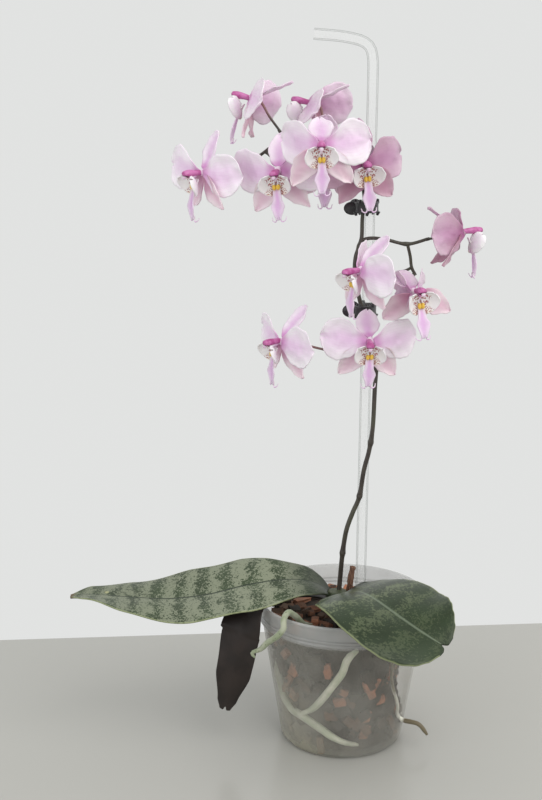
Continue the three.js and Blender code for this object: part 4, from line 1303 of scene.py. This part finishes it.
def petal_finish(name, rim, body, flush, claw, claw_reach=0.2):
    petal = Finish(name, 0.5)
    vein, across, along = petal.veins(15.0, 0.05)
    grain, blotch = petal.grain(1500.0, 75.0)
    colour = across.remap(0.15, 1.0).mix(body, rim)
    colour = along.remap(0.72, 1.0, 0.0, 0.7).mix(colour, rim)
    middle = across.remap(0.0, 0.75, 1.0, 0.0) * along.remap(0.25, 0.95, 1.0, 0.25)
    colour = (middle * 0.75).mix(colour, flush)
    lined = vein * along.remap(0.1, 0.95, 0.22, 0.08)
    colour = lined.mix(colour, [0.5 * (a + b) for a, b in zip(flush, claw)])
    colour = along.remap(0.04, claw_reach, 0.75, 0.0).mix(colour, claw)
    colour = (blotch * 0.10).mix(colour, flush)
    # Painted shade: a shaded bloom is multiplied darker, most towards the claw.
    shade_share = petal.attribute("painted_shade") * along.remap(0.1, 1.0, 1.0, 0.70)
    petal.set(Base_Color=shade_share.mix(colour, PAINTED_SHADE_TINT, "MULTIPLY"), Sheen_Weight=0.15)
    petal.glow(0.22, (0.004, 0.0028, 0.004))
    petal.bump(vein * -0.5 + grain, 0.16, 0.0005)
    return petal


petal_face = petal_finish("petal face", (0.93, 0.86, 0.925), (0.90, 0.77, 0.895),
                          (0.80, 0.52, 0.79), (0.60, 0.20, 0.50))
petal_back = petal_finish("petal back", (0.86, 0.74, 0.84), (0.81, 0.62, 0.77),
                          (0.72, 0.43, 0.65), (0.50, 0.16, 0.36), claw_reach=0.35)
dorsal_face = petal_finish("upper sepal face", (0.88, 0.77, 0.87), (0.83, 0.66, 0.82),
                           (0.71, 0.43, 0.70), (0.54, 0.15, 0.45))
sepal_face = petal_finish("lower sepal face", (0.88, 0.74, 0.79), (0.83, 0.63, 0.71),
                          (0.73, 0.46, 0.57), (0.50, 0.15, 0.30), claw_reach=0.4)
sepal_back = petal_finish("sepal back", (0.77, 0.58, 0.64), (0.69, 0.45, 0.52),
                          (0.58, 0.31, 0.40), (0.40, 0.13, 0.20), claw_reach=0.4)
give(petal_shape, petal_face, petal_back)
give(dorsal_shape, dorsal_face, petal_back)
give(lateral_shape, sepal_face, sepal_back)
give(heart_shape, petal_back)
print("petal finishes made")

# %% [markdown]
# ## Column and lip
# In the heart of the bloom the column is a magenta hood with a pale cap at its end. Below it the
# lip holds up two round white lobes like cupped hands round a yellow callus, with wine-red spots
# inside, and sends out a narrow middle lobe that ends in two curled tendrils. The lobes are blades
# like the petals, more deeply cupped. The column is a bent tube; a number on its vertices marks the
# underside at the end of the hood, which is painted near-black there as painted shade.

# %% Column


def tube_in_mm(name, points, count, radius_at, resolution):
    """A tube that stays in mm until it is copied into place. A template."""
    path = [p / MM for p in smooth_path(points, count)]
    return keep_as_template(tube(name, path, lambda t: radius_at(t) / MM, resolution))


column_width = profile((0, 0.75), (0.25, 0.82), (0.7, 1.12), (0.9, 1.22), (0.97, 0.95), (1, 0.6))
COLUMN_PATH = [(0, 0, 0.3), (0, -4.8, 0.3), (0, -8.8, -0.1), (0, -12.4, -1.4)]
column_shape = tube_in_mm("column", COLUMN_PATH, 24, lambda t: 2.3 * column_width(t), 4)
with editing():
    pick(lambda co: co.y < -9.5 and co.z < -1.6)
    bpy.ops.transform.translate(value=(0, 0.9, 1.1))
use_modifier(column_shape, "SUBSURF", levels=1, render_levels=1)
# Painted shade: downward faces near the end of the hood are marked, so that they can be darkened.
hood_shade = column_shape.data.attributes.new("under", "FLOAT", "POINT")
for vertex in column_shape.data.vertices:
    below = ease(-0.2, -0.8, vertex.normal.z)
    hood_shade.data[vertex.index].value = below * ease(-7.5, -9.5, vertex.co.y)
with ball(18, 10, (1.35, 1.3, 1.0), (0, -11.3, -2.1)) as cap_shape:
    pick(lambda co: co.z < -2.6 and co.y < -11.2)
    bpy.ops.transform.translate(value=(0, -0.2, -0.5))

magenta = Finish("column magenta", 0.42)
grain, blotch = magenta.grain(1500.0, 260.0)
colour = blotch.mix((0.40, 0.065, 0.24), (0.55, 0.17, 0.40))
# Painted shade: near-black magenta where the number marks the underside of the hood.
magenta.set(Base_Color=magenta.attribute("under").mix(colour, (0.10, 0.008, 0.05)))
magenta.glow(0.15, (0.002, 0.001, 0.002))
magenta.bump(grain, 0.2, 0.0004)
cap_white = Finish("anther cap", 0.45)
_, blotch = cap_white.grain(1200.0, 300.0)
cap_white.set(Base_Color=blotch.mix((0.80, 0.70, 0.78), (0.74, 0.50, 0.68)))
give(column_shape, magenta)
give(cap_shape, cap_white)
print("column faces:", len(column_shape.data.polygons))

# %% Lip
LIP_HEART = Vector((0, -3.6, -9))
LIP_ROOT = Vector((0, -2.6, -3.8))
MIDDLE_LENGTH = 25
TIP = LIP_ROOT.z - MIDDLE_LENGTH
lobe_outline = profile((0, 0.34), (0.3, 0.86), (0.62, 1), (0.86, 0.84), (0.96, 0.5), (1, 0.16))
middle_outline = profile((0, 0.36), (0.25, 0.52), (0.5, 0.58), (0.66, 1), (0.84, 0.66), (1, 0.34))
lobe_shape = blade("side lobe", 13.5, 11.5, 10, 12, lobe_outline, lambda u: -3.4 * u * u, -2.6,
                   skin=0.6)
other_lobe = keep_as_template(
    copy_of(lobe_shape, Matrix.Diagonal((-1, 1, 1, 1)), "other side lobe"))
other_lobe.data.flip_normals()
middle_shape = blade("middle lobe", MIDDLE_LENGTH, 9, 6, 18, middle_outline,
                     lambda u: -2.6 * math.sin(2.6 * u), -1.5, crowd=1.0, skin=0.7)
tendrils = [tube_in_mm("tendril", [(side * 0.8, -4.3, TIP + 2.0), (side * 2.4, -4.5, TIP - 0.9),
                                   (side * 4.2, -3.8, TIP - 0.4), (side * 4.8, -2.8, TIP + 1.6)],
                       18, lambda t: 0.62 - 0.38 * t, 2) for side in (-1, 1)]
with ball(18, 10, (1.25, 1.6, 1.75)) as callus_shape:
    pick(lambda co: co.z > 1.0)
    bpy.ops.transform.translate(value=(0, -0.5, 0.2))
with ball(12, 8, (0.55, 0.6, 2.1)) as prong_shape:
    pick(lambda co: co.z < -1)
    bpy.ops.transform.translate(value=(0, -0.7, 0))
print("lobe faces:", len(lobe_shape.data.polygons))

# %% Lip finishes
# Wine-red spots cover the inner half of each side lobe and its foot.
lip_white = Finish("lip white", 0.48)
vein, _, along = lip_white.veins(11.0, 0.08)
_, blotch = lip_white.grain(1500.0, 200.0)
x, _, _ = lip_white.uv.split()
inner = x.remap(0.36, 0.54, 1.0, 0.0) * along.remap(0.62, 0.80, 1.0, 0.0)
spotted = inner.maths("MAXIMUM", along.remap(0.20, 0.34, 1.0, 0.0))
spots = lip_white.uv.dots(13.0, 0.75).remap(0.40, 0.58, 1.0, 0.0) * spotted
colour = (blotch * 0.3).mix((0.87, 0.85, 0.85), (0.80, 0.74, 0.82))
colour = along.remap(0.05, 0.30, 0.6, 0.0).mix(colour, (0.84, 0.72, 0.52))
lip_white.set(Base_Color=spots.mix(colour, (0.33, 0.045, 0.06)))
lip_white.glow(0.2, (0.003, 0.003, 0.003))
lip_white.bump(vein, 0.15, 0.0004)
lip_back = petal_finish("lip back", (0.85, 0.82, 0.85), (0.83, 0.78, 0.83), (0.76, 0.62, 0.76),
                        (0.66, 0.42, 0.58))
lip_lilac = petal_finish("middle lobe", (0.82, 0.66, 0.82), (0.76, 0.53, 0.77),
                         (0.66, 0.34, 0.66), (0.84, 0.78, 0.78), claw_reach=0.45)
callus_yellow = Finish("callus yellow", 0.45)
stripe, _, _ = callus_yellow.veins(12.0, 0.1)
colour = stripe.remap(0.55, 0.9, 0.0, 0.85).mix((0.84, 0.56, 0.08), (0.42, 0.05, 0.03))
callus_yellow.set(Base_Color=colour)
callus_yellow.bump(stripe, 0.2, 0.0004)
for lobe in (lobe_shape, other_lobe):
    give(lobe, lip_white, lip_back)
give(middle_shape, lip_lilac, lip_lilac)
give(prong_shape, lip_back)
give(callus_shape, callus_yellow)
for tendril in tendrils:
    give(tendril, lip_lilac)
print("lip finishes made")

# %% [markdown]
# ## Putting the blooms together
# Petals, sepals, lips and columns were modelled once. Every bloom now gets its own copies, swept
# and leaned as that bloom's are, joined into three pieces: the petals and sepals that grow as one,
# the column, and the lip. A colour cloud texture then moves the points a little in all three
# directions. As it reads the place in the room, no two blooms ripple alike.

# %% Blooms
ripples = clouds("ripples", 0.017, "COLOR")
creases = clouds("creases", 0.006, "COLOR")
ALL_WAYS = "RGB_TO_XYZ"
PETAL_RIPPLE, PETAL_CREASE, LIP_RIPPLE = 0.0042, 0.0013, 0.0018
PETAL_TURN = 88
LOBE_OUT, LOBE_OPEN, LOBE_TILT = 1.7, 22, 38

for letter, bloom in BLOOMS.items():
    where = TO_METRES @ Matrix.Translation(bloom["at"]) @ bloom_turn(bloom)
    spread, droop, twist = (bloom.get(habit, usual) for habit, usual in USUAL_HABITS.items())
    parts = [copy_of(heart_shape, where, "heart")]
    for i, side in enumerate((-1, 1)):
        own = (Matrix.Translation((side * TEPAL_FOOT, -0.4, 0))
               @ rotation("Z", side * bloom["sweep"][i])
               @ rotation("Y", side * PETAL_TURN) @ rotation("Z", -side * twist[i]))
        parts.append(copy_of(petal_shape, where @ own, "petal"))
    for shape, turn, lean in ((dorsal_shape, 0, bloom["lean"]),
                              (lateral_shape, -spread[0], droop[0]),
                              (lateral_shape, spread[1], droop[1])):
        own = (rotation("Y", turn) @ Matrix.Translation((0, 1.4, TEPAL_FOOT))
               @ rotation("X", -lean))
        parts.append(copy_of(shape, where @ own, "sepal"))
    tepals = join(parts, f"bloom_{letter}_petals")
    displace(tepals, ripples, PETAL_RIPPLE, direction=ALL_WAYS)
    displace(tepals, creases, PETAL_CREASE, direction=ALL_WAYS)
    # Painted shade: the bloom's share of shade, kept on its points for the petal finishes.
    tint = tepals.data.attributes.new("painted_shade", "FLOAT", "POINT")
    tint.data.foreach_set("value", [bloom["painted_shade"]] * len(tepals.data.vertices))
    finish_piece(tepals, f"bloom_{letter}_tepals")

    parts = [copy_of(column_shape, where, "column"), copy_of(cap_shape, where, "cap")]
    column = join(parts, f"bloom_{letter}_hood")
    finish_piece(column, f"bloom_{letter}_column")

    own = Matrix.Translation(LIP_ROOT) @ rotation("Y", 180)
    parts = [copy_of(middle_shape, where @ own, "middle")]
    for side, lobe in ((-1, other_lobe), (1, lobe_shape)):
        own = (Matrix.Translation((side * LOBE_OUT, LIP_HEART.y + 0.6, LIP_HEART.z - 4))
               @ rotation("Z", side * -LOBE_OPEN) @ rotation("Y", side * LOBE_TILT))
        parts.append(copy_of(lobe, where @ own, "lobe"))
        own = Matrix.Translation(LIP_HEART + Vector((side * 1.15, -1.6, 0.2)))
        parts.append(copy_of(callus_shape, where @ own, "callus"))
        own = (Matrix.Translation(LIP_HEART + Vector((side * 1.25, -1.6, 3.6)))
               @ rotation("Y", side * 8))
        parts.append(copy_of(prong_shape, where @ own, "prong"))
    parts += [copy_of(tendril, where, "tendril") for tendril in tendrils]
    lip = join(parts, f"bloom_{letter}_lip_lobes")
    displace(lip, ripples, LIP_RIPPLE, direction=ALL_WAYS)
    finish_piece(lip, f"bloom_{letter}_lip")
print("blooms made:", len(BLOOMS))

# %% [markdown]
# ## Clips
# Two small black claw clips hold the stem to the stake. Each is an oval band round both, with
# teeth along its edges and two round levers that open it. Band, tooth and lever are modelled once,
# joined into one clip, and the clip is copied to its two places.

# %% Clip shape
TEETH = 10
BAND_HALVES = (6.55, 10.55)
TOOTH_HALVES = (6.7, 10.8)
TOOTH_HEIGHT = 3.9
LEVER_RADIUS = 5.4
LEVER_PLACE = (-9.2, 2.8, 0.8)
LEVER_SHAPE = (1.0, 0.26, 0.8)
LEVER_TURN = math.radians(18)
deselect()
bpy.ops.mesh.primitive_cylinder_add(vertices=48, radius=1, depth=7.0, end_fill_type="NOTHING")
band = bpy.context.object
with editing():
    bpy.ops.transform.resize(value=(*BAND_HALVES, 1))
    cut_across(-1.6, 1.6)
    pick(lambda co: abs(co.z) < 1.7)
    bpy.ops.transform.resize(value=(0.94, 0.95, 1))
use_modifier(band, "SOLIDIFY", thickness=1.5, offset=0)
use_modifier(band, "BEVEL", width=0.35, segments=3, limit_method="ANGLE",
             angle_limit=math.radians(50))
clip_parts = [band]
for i in range(TEETH):
    angle = 2 * math.pi * (i + 0.5) / TEETH
    up = 1 if i % 2 else -1
    bpy.ops.mesh.primitive_cone_add(
        vertices=12, radius1=1.45, radius2=0.8, depth=2.6,
        location=(TOOTH_HALVES[0] * math.cos(angle), TOOTH_HALVES[1] * math.sin(angle),
                  up * TOOTH_HEIGHT),
        rotation=(0 if up > 0 else math.pi, 0.32 * math.cos(angle), 0))
    clip_parts.append(bpy.context.object)
for side in (-1, 1):
    x, y, z = LEVER_PLACE
    bpy.ops.mesh.primitive_uv_sphere_add(segments=32, ring_count=16, radius=LEVER_RADIUS,
                                         location=(x, side * y, side * z),
                                         rotation=(0, 0, -side * LEVER_TURN))
    lever = bpy.context.object
    lever.scale = LEVER_SHAPE
    bpy.ops.object.transform_apply(location=False, rotation=False, scale=True)
    with editing():
        pick(lambda co: co.x < -2.5 and side * co.y > 0.2)
        bpy.ops.transform.translate(value=(0, -side * 0.4, 0))
    clip_parts.append(lever)
for part in clip_parts:
    make_active(part)
    bpy.ops.object.transform_apply()
clip_shape = keep_as_template(join(clip_parts, "clip shape"))
smooth(clip_shape, 40)
print("clip faces:", len(clip_shape.data.polygons))

# %% Clips in place
black = Finish("black plastic", 0.34)
grain, blotch = black.grain(700.0, 180.0)
black.set(Base_Color=blotch.mix((0.013, 0.013, 0.015), (0.026, 0.027, 0.028)),
          Roughness=grain.remap(0.3, 0.7, 0.26, 0.46))
black.bump(grain, 0.15, 0.0004)
for name, z in (("clip_lower", 302), ("clip_upper", 369)):
    stake_spot = Vector(stake_axis(z))
    stem_spot = next(p for p in stem_line if p.z > z)
    middle = (stake_spot + stem_spot) / 2
    between = stake_spot - stem_spot
    turn = math.degrees(math.atan2(between.y, between.x)) - 90
    where = TO_METRES @ Matrix.Translation((middle.x, middle.y, z)) @ rotation("Z", turn)
    clip = copy_of(clip_shape, where, name.replace("clip", "claw_clip"))
    give(clip, black)
    finish_piece(clip, name)
print("clips placed")

# %% [markdown]
# ## Finish
# The template shapes go, now that their copies are in place.

# %% Finish
for template in templates:
    bpy.data.objects.remove(template)
deselect()
